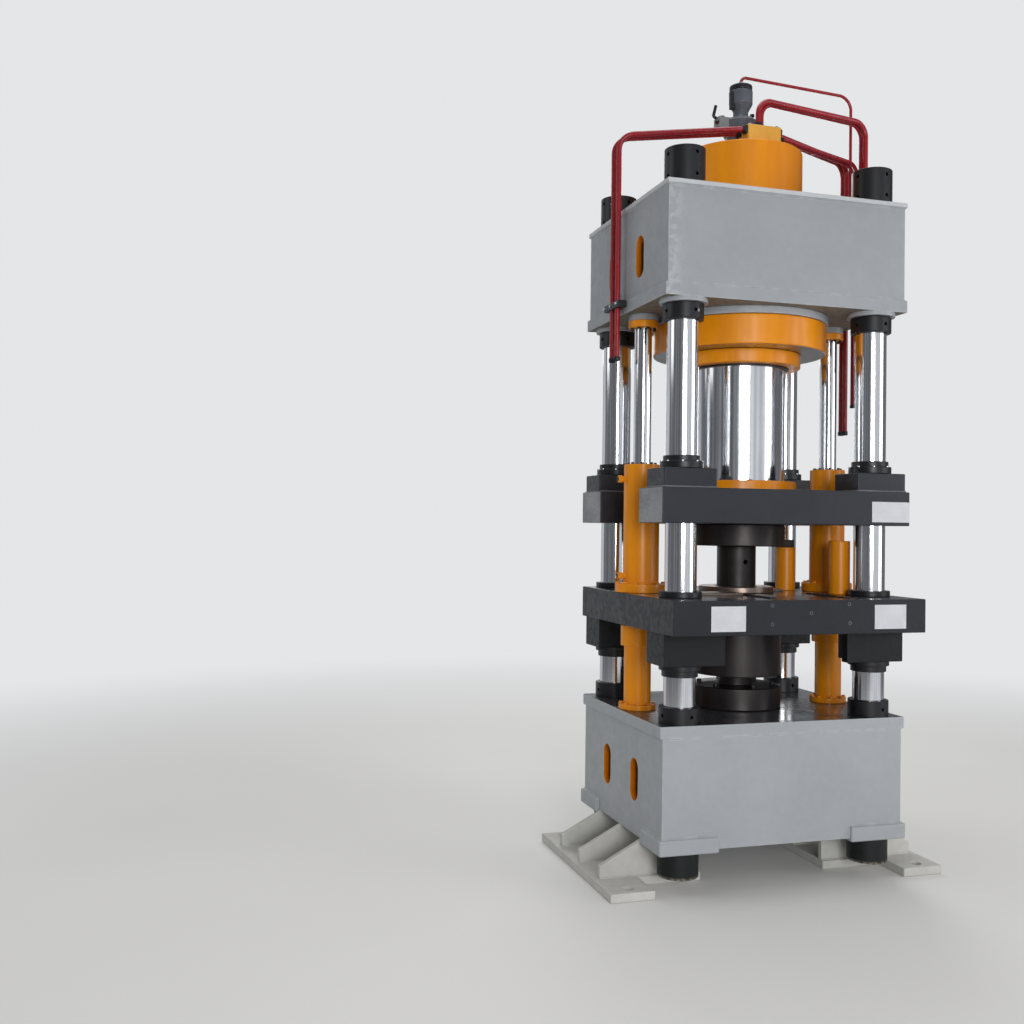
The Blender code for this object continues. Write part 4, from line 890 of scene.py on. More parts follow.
    def weld_frame(self, half: Point, height: float, radius: float, finish: int = 0) -> None:
        """Adds weld beads round a rectangle that is centred on the press axis.

        Args:
            half: Half the rectangle's width and depth.
            height: Where the beads lie.
            radius: The beads' radius.
            finish: Their finish number.
        """
        corners = [(-half[0], -half[1]), (half[0], -half[1]), (half[0], half[1]), (-half[0], half[1])]
        for near, far in zip(corners, corners[1:] + corners[:1]):
            self.weld((*near, height), (*far, height), radius, finish=finish)

    def socket_screw(self, place: Matrix, diameter: float, finish: int = 0) -> None:
        """Adds a socket head screw's head.

        Args:
            place: Where it stands.
            diameter: The screw's thread diameter.
            finish: Its finish number.
        """
        radius = diameter * 0.75
        height = diameter
        well = diameter * 0.42
        outline = [(0, height * 0.5), (well, height * 0.5), (well, height), (radius, height), (radius, 0),
                   (0, 0)]
        self.turned(outline, place, soft=diameter * 0.09, steps=18, finish=finish)

    def hex_bolt(self, place: Matrix, diameter: float, finish: int = 0, washer: bool = True) -> None:
        """Adds a hexagon bolt's head, with a washer and a chamfer.

        Args:
            place: Where it stands.
            diameter: The bolt's thread diameter.
            finish: Its finish number.
            washer: Whether a washer lies under it.
        """
        lift = diameter * 0.16 if washer else 0.0
        if washer:
            self.turned([(0, lift), (diameter, lift), (diameter, 0), (0, 0)], place, soft=diameter * 0.05,
                        steps=24, finish=finish)
        corners = [(diameter * 0.9 * math.cos(math.tau * step / 6),
                    diameter * 0.9 * math.sin(math.tau * step / 6)) for step in range(6)]
        self.slab(corners, lift, lift + diameter * 0.62, diameter * 0.08, place, finish, 2)

    def cut(self, tools: Sequence["Stock"]) -> None:
        """Cuts other shapes out of this one.

        Args:
            tools: What is cut away.
        """
        body = self._loose("cut_body")
        for number, tool in enumerate(tools):
            other = tool._loose("cut_tool_%d" % number)
            boolean = body.modifiers.new("cut", "BOOLEAN")
            boolean.operation = "DIFFERENCE"
            boolean.solver = "EXACT"
            boolean.use_self = True
            boolean.object = other
        graph = bpy.context.evaluated_depsgraph_get()
        done = bpy.data.meshes.new_from_object(body.evaluated_get(graph))
        self.shape = bmesh.new()
        self.shape.from_mesh(done)
        for modifier in list(body.modifiers):
            bpy.data.objects.remove(modifier.object, do_unlink=True)
        bpy.data.objects.remove(body, do_unlink=True)
        bpy.data.meshes.remove(done)

    def _loose(self, name: str) -> bpy.types.Object:
        """Makes a passing object of the shape.

        Args:
            name: The object's name.

        Returns:
            The object.
        """
        mesh = bpy.data.meshes.new(name)
        self.shape.to_mesh(mesh)
        self.shape.free()
        thing = bpy.data.objects.new(name, mesh)
        bpy.context.scene.collection.objects.link(thing)
        return thing

    def refinish(self, finish: int, test: Callable[[Vector, Vector], bool]) -> None:
        """Gives another finish to the faces that a test picks.

        Args:
            finish: The finish number.
            test: Takes a face's middle and normal, and picks it.
        """
        self.shape.normal_update()
        for face in self.shape.faces:
            if test(face.calc_center_median(), face.normal):
                face.material_index = finish

    def place(self, name: str, body: Body, finishes: Sequence[bpy.types.Material], origin: Place = (0, 0, 0),
              nodes: Sequence[str] = (), slot: str = "") -> bpy.types.Object:
        """Turns the stock into an object that rides on a body.

        Args:
            name: The object's name.
            body: What it rides on.
            finishes: Its materials, by finish number.
            origin: Where its own zero lies.
            nodes: The solids that it stands for.
            slot: The record's material slot; not used.

        Returns:
            The object.
        """
        mesh = bpy.data.meshes.new(name)
        bmesh.ops.remove_doubles(self.shape, verts=self.shape.verts, dist=MERGE_DISTANCE)
        self.shape.to_mesh(mesh)
        self.shape.free()
        mesh.shade_smooth()
        mesh.set_sharp_from_angle(angle=SHARP_ANGLE)
        for finish in finishes:
            mesh.materials.append(finish)
        thing = bpy.data.objects.new(name, mesh)
        thing.location = origin
        bpy.context.scene.collection.objects.link(thing)
        weighted = thing.modifiers.new("flat_faces", "WEIGHTED_NORMAL")
        weighted.keep_sharp = True
        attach(thing, body.value)
        if nodes:
            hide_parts(*nodes)
        LOG.info("placed %s on %s: %d faces", name, body.value, len(mesh.polygons))
        return thing


def ring(outer: float, inner: float, bottom: float, top: float) -> list[Point]:
    """Gives the closed outline of a plain ring."""
    return [(inner, top), (outer, top), (outer, bottom), (inner, bottom)]


def disc(radius: float, bottom: float, top: float) -> list[Point]:
    """Gives the outline of a plain solid disc."""
    return [(0, top), (radius, top), (radius, bottom), (0, bottom)]


def bolt_circle(count: int, reach: float, turn: float = 0.5) -> list[Point]:
    """Gives the (x, y) places of evenly spaced bolts.

    Args:
        count: How many bolts.
        reach: Their distance from the middle.
        turn: How far the first is turned, in spacings.

    Returns:
        The places.
    """
    angles = [math.tau * (number + turn) / count for number in range(count)]
    return [(reach * math.cos(angle), reach * math.sin(angle)) for angle in angles]


def upright(x: float, y: float, z: float) -> Matrix:
    """Gives the place of something that stands upright."""
    return Matrix.Translation((x, y, z))


def facing(x: float, y: float, z: float, direction: Place) -> Matrix:
    """Gives the place of something whose own upright axis points along a direction."""
    turn = Vector((0, 0, 1)).rotation_difference(Vector(direction)).to_matrix().to_4x4()
    return Matrix.Translation((x, y, z)) @ turn


@dataclass(frozen=True)
class NodeSpan:
    """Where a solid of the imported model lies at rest."""

    low: Vector
    high: Vector

    @classmethod
    def of(cls, node: str) -> "NodeSpan":
        """Reads a solid's span."""
        low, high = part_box(node)
        return cls(low, high)

    @property
    def middle(self) -> Vector:
        """The middle of the span."""
        return (self.low + self.high) / 2

    @property
    def radius(self) -> float:
        """The radius of a round upright solid."""
        return (self.high.x - self.low.x) / 2

    @property
    def height(self) -> float:
        """The height of the solid."""
        return self.high.z - self.low.z

    @property
    def foot(self) -> Place:
        """The point in the middle of the solid's lower side."""
        return self.middle.x, self.middle.y, self.low.z


@dataclass
class Assembly:
    """A sub-assembly: the press's materials, and where its axis lies along Y."""

    finishes: Finishes
    axis_y: float


@dataclass
class WeldedBox(Assembly):
    """Sizes that the bed and the crown share: side slots with painted pockets behind them."""

    slot_width: float = 0.095
    slot_height: float = 0.206
    slot_spacing: float = 0.356
    slot_depth: float = 0.250
    slot_overrun: float = 0.030
    edge: float = 0.0035
    bead: float = 0.0055

    def slot_cutter(self, middle: float, half_width: float) -> Stock:
        """Makes the cutter for the slots on both sides.

        Args:
            middle: The height of the slots' middle.
            half_width: Half the box's width.

        Returns:
            The cutter.
        """
        cutter = Stock()
        straight = (self.slot_height - self.slot_width) / 2
        radius = self.slot_width / 2
        outline = []
        for quarter in range(2):
            for step in range(17):
                angle = math.pi * step / 16 + math.pi * quarter
                rise = straight if quarter == 0 else -straight
                outline.append((radius * math.cos(angle), radius * math.sin(angle) + rise))
        turn = Matrix(((0, 0, 1, 0), (1, 0, 0, 0), (0, 1, 0, 0), (0, 0, 0, 1)))
        for _, side in (member.value for member in Side):
            low, high = sorted((side * self.slot_overrun, -side * self.slot_depth))
            for along in (-self.slot_spacing / 2, self.slot_spacing / 2):
                cutter.slab(outline, low, high, 0.0,
                            Matrix.Translation((side * half_width, along, middle)) @ turn)
        return cutter

    def paint_slots(self, stock: Stock, middle: float, half_width: float) -> None:
        """Paints the pockets behind the slots, with painted shade at their far end.

        Args:
            stock: The box that the slots are cut in.
            middle: The height of the slots' middle.
            half_width: Half the box's width.
        """
        end = half_width - self.slot_depth + self.edge
        near = self.slot_width / 2 + self.edge
        tall = self.slot_height / 2 + self.edge

        def in_slot(place: Vector) -> bool:
            """Tells whether a place lies in a pocket."""
            beside = abs(abs(place.y) - self.slot_spacing / 2) < near
            return beside and abs(place.z - middle) < tall and abs(place.x) < half_width - self.edge

        stock.refinish(BoxFinish.POCKET, lambda place, normal: in_slot(place))
        # The far end of each pocket takes the dark brown finish as painted shade.
        stock.refinish(BoxFinish.POCKET_END, lambda place, normal: in_slot(place) and abs(place.x) < end)


@dataclass
class Bed(WeldedBox):
    """Welded bed with a milled top, corner pads and slots."""

    underside: float = 0.210
    half_width: float = 0.635
    half_depth: float = 0.5075
    box_height: float = 0.520
    plate_half_width: float = 0.6485
    plate_half_depth: float = 0.511
    plate_thickness: float = 0.056
    pad_width: float = 0.303
    pad_depth: float = 0.237
    pad_proud: float = 0.018
    pad_drop: float = 0.015
    pad_height: float = 0.075
    pad_edge: float = 0.010
    plate_bead: float = 0.0044
    slot_middle: float = 0.264

    def build(self) -> None:
        """Builds the bed."""
        box_top = self.underside + self.box_height
        top = box_top + self.plate_thickness
        stock = Stock()
        stock.block((-self.half_width, -self.half_depth, self.underside),
                    (self.half_width, self.half_depth, box_top), self.edge)
        stock.cut([self.slot_cutter(self.underside + self.slot_middle, self.half_width)])
        self.paint_slots(stock, self.underside + self.slot_middle, self.half_width)
        stock.block((-self.plate_half_width, -self.plate_half_depth, box_top),
                    (self.plate_half_width, self.plate_half_depth, top), self.edge)
        stock.refinish(BoxFinish.FACE, lambda middle, normal: normal.z > 0.9 and middle.z > top - 0.001)
        pad_bottom = self.underside - self.pad_drop
        for corner in Corner:
            _, x, y = corner.value
            far = (x * (self.half_width + self.pad_proud), y * (self.half_depth + self.pad_proud))
            near = (far[0] - x * self.pad_width, far[1] - y * self.pad_depth)
            low = (min(far[0], near[0]), min(far[1], near[1]), pad_bottom)
            high = (max(far[0], near[0]), max(far[1], near[1]), pad_bottom + self.pad_height)
            stock.block(low, high, self.pad_edge)
            meeting = (x * self.half_width, y * self.half_depth, high[2])
            stock.weld((meeting[0], near[1], high[2]), meeting, self.bead)
            stock.weld((near[0], meeting[1], high[2]), meeting, self.bead)
        stock.weld_frame((self.half_width, self.half_depth), box_top, self.plate_bead)
        # The pocket finishes are orange paint with painted shade deeper inside the slots.
        paints = [self.finishes.grey, self.finishes.pocket_orange_and_shade, self.finishes.table,
                  self.finishes.pocket_end_shade]
        stock.place("bed_shell", Body.FRAME, paints, (0, self.axis_y, 0), ["bed_frame"], "frame_grey")


@dataclass
class Foot(Assembly):
    """Ribbed foot under one side of the bed."""

    reach: float = 0.8785
    half_length: float = 0.505
    strip: float = 0.2175
    tongue_reach: float = 0.542
    tongue_half_length: float = 0.300
    thickness: float = 0.042
    rib_spacing: float = 0.270
    rib_thickness: float = 0.030
    rib_tip: float = 0.057
    rib_inset: float = 0.028
    bed_underside: float = 0.210
    bed_half_width: float = 0.635
    hole_radius: float = 0.028
    hole_inset: float = 0.062

    def build(self) -> None:
        """Builds both feet."""
        for name, side in (member.value for member in Side):
            strip = self.reach - self.strip
            inner = self.reach - self.tongue_reach
            end = self.half_length
            tongue = self.tongue_half_length
            plan = [(self.reach, -end), (self.reach, end), (strip, end), (strip, tongue), (inner, tongue),
                    (inner, -tongue), (strip, -tongue), (strip, -end)]
            stock = Stock()
            stock.slab([(side * x, y) for x, y in plan], 0, self.thickness, 0.0045)
            holes = Stock()
            for far in (-1, 1):
                place = upright(side * (self.reach - self.strip / 2), far * (end - self.hole_inset), 0)
                holes.turned(disc(self.hole_radius, -0.01, self.thickness + 0.01), place, steps=40)
            stock.cut([holes])
            tip = self.reach - self.rib_inset
            top = self.bed_underside - TOUCH
            rib = [(tip, self.thickness - 0.004), (tip, self.thickness + self.rib_tip),
                   (self.bed_half_width, top), (inner, top), (inner, self.thickness - 0.004)]
            turn = Matrix(((side, 0, 0, 0), (0, 0, -1, 0), (0, 1, 0, 0), (0, 0, 0, 1)))
            half = self.rib_thickness / 2
            for along in (-self.rib_spacing, 0, self.rib_spacing):
                stock.slab(rib, -half, half, 0.003, Matrix.Translation((0, along, 0)) @ turn)
                for edge in (-half, half):
                    stock.weld((side * inner, along + edge, self.thickness),
                               (side * tip, along + edge, self.thickness), 0.0055)
            stock.place("ribbed_foot_" + name, Body.FRAME, [self.finishes.cream], (0, self.axis_y, 0),
                        ["foot_" + name], "frame_grey")


@dataclass
class Crown(WeldedBox):
    """Welded crown with its plates, cylinder seat and column bosses."""

    half_width: float = 0.634
    half_depth: float = 0.511
    underside: float = 2.770
    floor_thickness: float = 0.060
    box_height: float = 0.456
    top_thickness: float = 0.024
    floor_half: Point = (0.6465, 0.5175)
    top_half: Point = (0.642, 0.521)
    seat_radius: float = 0.450
    seat_height: float = 0.034
    boss_radius: float = 0.115
    boss_height: float = 0.020
    column_half: Point = (0.510, 0.414)
    slot_middle: float = 0.192
    lift_x: float = 0.535
    lift_boss_radius: float = 0.076
    lift_boss_height: float = 0.030

    def build(self) -> None:
        """Builds the crown."""
        box_bottom = self.underside + self.floor_thickness
        box_top = box_bottom + self.box_height
        top = box_top + self.top_thickness
        stock = Stock()
        stock.block((-self.half_width, -self.half_depth, box_bottom),
                    (self.half_width, self.half_depth, box_top), self.edge)
        stock.cut([self.slot_cutter(box_bottom + self.slot_middle, self.half_width)])
        self.paint_slots(stock, box_bottom + self.slot_middle, self.half_width)
        for half, low, high in ((self.floor_half, self.underside, box_bottom), (self.top_half, box_top, top)):
            stock.block((-half[0], -half[1], low), (half[0], half[1], high), self.edge)
        stock.turned(disc(self.seat_radius, self.underside - self.seat_height, self.underside + 0.002),
                     soft=0.004)
        for corner in Corner:
            _, x, y = corner.value
            stock.turned(disc(self.boss_radius, self.underside - self.boss_height, self.underside + 0.002),
                         upright(x * self.column_half[0], y * self.column_half[1], 0), soft=0.003)
        stock.weld_frame((self.half_width, self.half_depth), box_bottom, self.bead)
        stock.weld_frame((self.half_width, self.half_depth), box_top, self.bead)
        for _, side in (member.value for member in Side):
            stock.turned(disc(self.lift_boss_radius, self.underside - self.lift_boss_height,
                              self.underside + 0.002), upright(side * self.lift_x, 0, 0), soft=0.003)
        # The crown's underside takes the darker grey as painted shade.
        stock.refinish(BoxFinish.FACE, lambda middle, normal: normal.z < -0.9
                       and abs(middle.z - self.underside) < TOUCH)
        # The top plate's rim takes the pale grey as painted highlight.
        stock.refinish(BoxFinish.RIM, lambda middle, normal: abs(normal.z) < 0.5
                       and box_top + self.edge < middle.z < top)
        paints = [self.finishes.crown_shaded_grey, self.finishes.pocket_orange_and_shade, self.finishes.underside_shade_grey,
                  self.finishes.pocket_end_shade, self.finishes.rim_highlight_grey]
        stock.place("crown_shell", Body.FRAME, paints, (0, self.axis_y, 0), ["crown_frame"], "frame_grey")


@dataclass
class ColumnSet(Assembly):
    """Columns with their round nuts."""

    nut_edge: float = 0.005
    hole_radius: float = 0.0095
    hole_depth: float = 0.018
    hole_turn: float = math.pi / 16
    screw_turn: float = math.radians(-68)
    crown_hole_inset: float = 0.034

    def nut(self, node: str, inset: float, column_radius: float) -> None:
        """Builds one nut with its bar holes and locking screw.

        Args:
            node: The solid that it stands for.
            inset: How far its rows of holes lie from its faces, or zero for a plain nut.
            column_radius: The column's radius.
        """
        span = NodeSpan.of(node)
        stock = Stock()
        stock.turned(ring(span.radius, column_radius + TOUCH, 0, span.height), closed=True,
                     soft=self.nut_edge)
        rows = sorted({inset, span.height - inset}) if inset else []
        drill = Stock()
        for height in rows:
            for quarter in range(4):
                angle = self.hole_turn + math.pi / 2 * quarter
                reach = span.radius - self.hole_depth
                place = facing(reach * math.cos(angle), reach * math.sin(angle), height,
                               (math.cos(angle), math.sin(angle), 0))
                drill.turned(disc(self.hole_radius, 0, self.hole_depth * 2), place, steps=20)
        if rows:
            stock.cut([drill])
            reach = span.radius - 0.010
            way = (math.cos(self.screw_turn), math.sin(self.screw_turn), 0)
            place = facing(reach * way[0], reach * way[1], span.height / 2, way)
            stock.socket_screw(place, 0.010, 1 if node == "lock_nut_front_left" else 0)
        black = self.finishes.base_black if node.startswith("base") else self.finishes.black
        stock.place(node + "_turned", Body.FRAME, [black, self.finishes.zinc], span.foot, [node],
                    "blackened_steel")

    def build(self) -> None:
        """Builds the columns and their nuts."""
        for name in (corner.value[0] for corner in Corner):
            span = NodeSpan.of("column_" + name)
            stock = Stock()
            stock.turned(disc(span.radius, 0, span.height), soft=0.004)
            stock.place("column_%s_ground" % name, Body.FRAME, [self.finishes.chrome], span.foot,
                        ["column_" + name], "chrome_steel")
            self.nut("crown_nut_" + name, self.crown_hole_inset, span.radius)
            for level in ("lock_nut_", "bed_nut_"):
                self.nut(level + name, NodeSpan.of(level + name).height / 2, span.radius)
            self.nut("base_nut_" + name, 0.0, span.radius)


@dataclass
class MainCylinder(Assembly):
    """Main cylinder with its gland, ram and ram flange."""

    barrel_radius: float = 0.315
    flange_radius: float = 0.440
    flange_thickness: float = 0.146
    rim: float = 0.012
    wiper: float = 0.016

    def build(self) -> None:
        """Builds the cylinder and the ram."""
        span = NodeSpan.of("main_cylinder")
        gland = NodeSpan.of("cylinder_gland")
        ram = NodeSpan.of("main_ram")
        bore = ram.radius + TOUCH
        stock = Stock()
        outline = [(bore, 0), (bore, span.height - 0.08), (0, span.height - 0.08)]
        outer = [(0, span.height), (self.barrel_radius, span.height),
                 (self.barrel_radius, self.flange_thickness), (self.flange_radius, self.flange_thickness),
                 (self.flange_radius, 0)]
        stock.turned(outer + outline, soft=self.rim * 0.8, steps=LARGE_RING_STEPS)
        stock.refinish(1, lambda middle, normal: normal.z < -0.9 and middle.z < 0.01)
        stock.place("main_cylinder_painted", Body.FRAME, [self.finishes.orange, self.finishes.machined],
                    span.foot, ["main_cylinder"], "cylinder_orange")
        stock = Stock()
        stock.turned(ring(gland.radius, bore, 0, gland.height), closed=True, soft=0.007,
                     steps=LARGE_RING_STEPS)
        stock.turned(ring(bore + self.wiper, bore, -self.wiper / 2, self.wiper / 2), closed=True,
                     soft=0.002, steps=LARGE_RING_STEPS, finish=1)
        stock.place("cylinder_gland_painted", Body.FRAME, [self.finishes.orange, self.finishes.black],
                    gland.foot, ["cylinder_gland"], "cylinder_orange")
        stock = Stock()
        stock.turned(disc(ram.radius, 0, ram.height), soft=0.006, steps=LARGE_RING_STEPS)
        stock.place("main_ram_ground", Body.SLIDE, [self.finishes.chrome], ram.foot, ["main_ram"],
                    "chrome_steel")
        flange = NodeSpan.of("ram_flange")
        stock = Stock()
        stock.turned(ring(flange.radius, bore, 0, flange.height), closed=True, soft=0.005,
                     steps=LARGE_RING_STEPS)
        for x, y in bolt_circle(12, (flange.radius + bore) / 2):
            stock.socket_screw(upright(x, y, flange.height - 0.012), 0.016, 1)
        stock.place("ram_flange_painted", Body.SLIDE, [self.finishes.orange, self.finishes.black],
                    flange.foot, ["ram_flange"], "cylinder_orange")


@dataclass
class SlideBeam(Assembly):
    """Slide beam with its pads, bushes and bare plate."""

    half_width: float = 0.6585
    half_depth: float = 0.530
    thickness: float = 0.166
    bay_half: float = 0.257
    bay_depth: float = 0.262
    pad_half: Point = (0.134, 0.100)
    pad_height: float = 0.090
    column_half: Point = (0.510, 0.414)
    edge: float = 0.005
    plate_left: float = 0.444
    plate_right: float = 0.654
    plate_low: float = 0.017
    plate_high: float = 0.116

    def build(self) -> None:
        """Builds the slide beam."""
        foot = NodeSpan.of("slide_beam").low.z
        bay_x = self.half_width - self.bay_depth
        right = [(self.half_width, -self.half_depth), (self.half_width, -self.bay_half),
                 (bay_x, -self.bay_half), (bay_x, self.bay_half), (self.half_width, self.bay_half),
                 (self.half_width, self.half_depth)]
        stock = Stock()
        stock.slab(right + [(-x, y) for x, y in reversed(right)], 0, self.thickness, self.edge)
        end = self.half_width - self.edge
        # Both end faces take the lighter slate: scuffs and painted sheen.
        stock.refinish(2, lambda middle, normal: abs(normal.x) > 0.9 and abs(middle.x) > end)
        pad_top = self.thickness + self.pad_height
        for corner in Corner:
            _, x, y = corner.value
            middle = (x * self.column_half[0], y * self.column_half[1])
            low = (middle[0] - self.pad_half[0], middle[1] - self.pad_half[1])
            high = (middle[0] + self.pad_half[0], middle[1] + self.pad_half[1])
            stock.block((*low, self.thickness), (*high, pad_top), self.edge)
            for start, end in (((low[0], low[1]), (high[0], low[1])),
                               ((high[0], low[1]), (high[0], high[1])),
                               ((high[0], high[1]), (low[0], high[1])),
                               ((low[0], high[1]), (low[0], low[1]))):
                # The pad welds take the pale slate as painted highlight.
                stock.weld((*start, self.thickness), (*end, self.thickness), 0.007, finish=1)
        paints = [self.finishes.slate, self.finishes.weld_bead_highlight, self.finishes.scuffed_and_lit_slate]
        stock.place("slide_beam_painted", Body.SLIDE, paints, (0, self.axis_y, foot), ["slide_beam"],
                    "slide_slate")
        self._plate(foot)
        for name in (corner.value[0] for corner in Corner):
            self._bush(name)

    def _plate(self, foot: float) -> None:
        """Builds the bare plate at the right of the slide's front.

        Args:
            foot: The height of the slide's underside.
        """
        stock = Stock()
        stock.block((self.plate_left, -self.half_depth - PLATE_PROUD, self.plate_low),
                    (self.plate_right, -self.half_depth - TOUCH, self.plate_high), PLATE_EDGE)
        stock.place("slide_bare_plate", Body.SLIDE, [self.finishes.silver], (0, self.axis_y, foot))

    def _bush(self, name: str) -> None:
        """Builds one flanged bush.

        Args:
            name: Its column.
        """
        span = NodeSpan.of("slide_bush_" + name)
        column = NodeSpan.of("column_" + name).radius
        seat = self.thickness + self.pad_height + TOUCH
        step = seat + 0.033
        sleeve = span.radius - 0.014
        outline = [(column + TOUCH, span.height), (sleeve, span.height), (sleeve, step), (span.radius, step),
                   (span.radius, seat), (sleeve, seat), (sleeve, 0), (column + TOUCH, 0)]
        stock = Stock()
        stock.turned(outline, closed=True, soft=0.0035)
        for x, y in bolt_circle(8, (span.radius + sleeve) / 2 + 0.001):
            stock.socket_screw(upright(x, y, step - 0.004), 0.008, 1)
        stock.place("slide_bush_%s_turned" % name, Body.SLIDE, [self.finishes.black, self.finishes.zinc],
                    span.foot, ["slide_bush_" + name], "blackened_steel")


@dataclass
class Tooling(Assembly):
    """Upper die, punch stem, die ring, stop posts and lower punch."""

    stem_hole_drop: float = 0.082
    stem_hole_radius: float = 0.013
    back_post_x: float = 0.348
    post_head_width: float = 0.090
    post_head_height: float = 0.040
    post_head_offset: float = 0.018
    punch_radius: float = 0.0905
    bolster_height: float = 0.110
    bolster_screws: float = 0.185

    def build(self) -> None:
        """Builds the tooling."""
        die = NodeSpan.of("upper_die")
        stock = Stock()
        stock.turned(disc(die.radius, 0, die.height), soft=0.006)
        stock.place("upper_die_turned", Body.SLIDE, [self.finishes.tool], die.foot, ["upper_die"],
                    "tool_steel")
        stem = NodeSpan.of("punch_stem")
        stock = Stock()
        stock.turned(disc(stem.radius, 0, stem.height), soft=0.006)
        drill = Stock()
        drill.turned(disc(self.stem_hole_radius, -0.2, 0.2),
                     facing(0, 0, stem.height - self.stem_hole_drop, (0, 1, 0)), steps=24)
        stock.cut([drill])
        stock.place("punch_stem_turned", Body.SLIDE, [self.finishes.tool], stem.foot, ["punch_stem"],
                    "tool_steel")
        ring_span = NodeSpan.of("die_ring")
        stock = Stock()
        stock.turned(ring(ring_span.radius, 0.110, 0, ring_span.height), closed=True, soft=0.005)
        stock.place("die_ring_turned", Body.PLATEN, [self.finishes.browned], ring_span.foot, ["die_ring"],
                    "tool_steel")
        self._posts()
        self._lower_punch()

    def _posts(self) -> None:
        """Builds the two stop posts."""
        right = NodeSpan.of("stop_post_right")
        stock = Stock()
        stock.turned(disc(right.radius, 0, right.height), soft=0.005, steps=64)
        stock.place("stop_post_right_painted", Body.PLATEN, [self.finishes.orange], right.foot,
                    ["stop_post_right"], "cylinder_orange")
        back = NodeSpan.of("stop_post_back")
        neck = back.height - self.post_head_height
        half = self.post_head_width / 2
        middle = -self.post_head_offset
        stock = Stock()
        stock.turned(disc(right.radius, 0, neck), soft=0.004, steps=64)
        stock.block((middle - half, -half, neck), (middle + half, half, back.height), 0.004, finish=1)
        stock.place("stop_post_back_painted", Body.PLATEN, [self.finishes.orange, self.finishes.tool],
                    (self.back_post_x, back.middle.y, back.low.z), ["stop_post_back"], "cylinder_orange")

    def _lower_punch(self) -> None:
        """Builds the bolster with the lower punch."""
        span = NodeSpan.of("lower_punch")
        outline = [(0, span.height), (self.punch_radius, span.height),
                   (self.punch_radius, self.bolster_height), (span.radius, self.bolster_height),
                   (span.radius, 0), (0, 0)]
        stock = Stock()
        stock.turned(outline, soft=0.007)
        for x, y in bolt_circle(6, self.bolster_screws):
            stock.socket_screw(upright(x, y, self.bolster_height), 0.016)
        stock.place("lower_punch_turned", Body.FRAME, [self.finishes.tool], span.foot, ["lower_punch"],
                    "tool_steel")


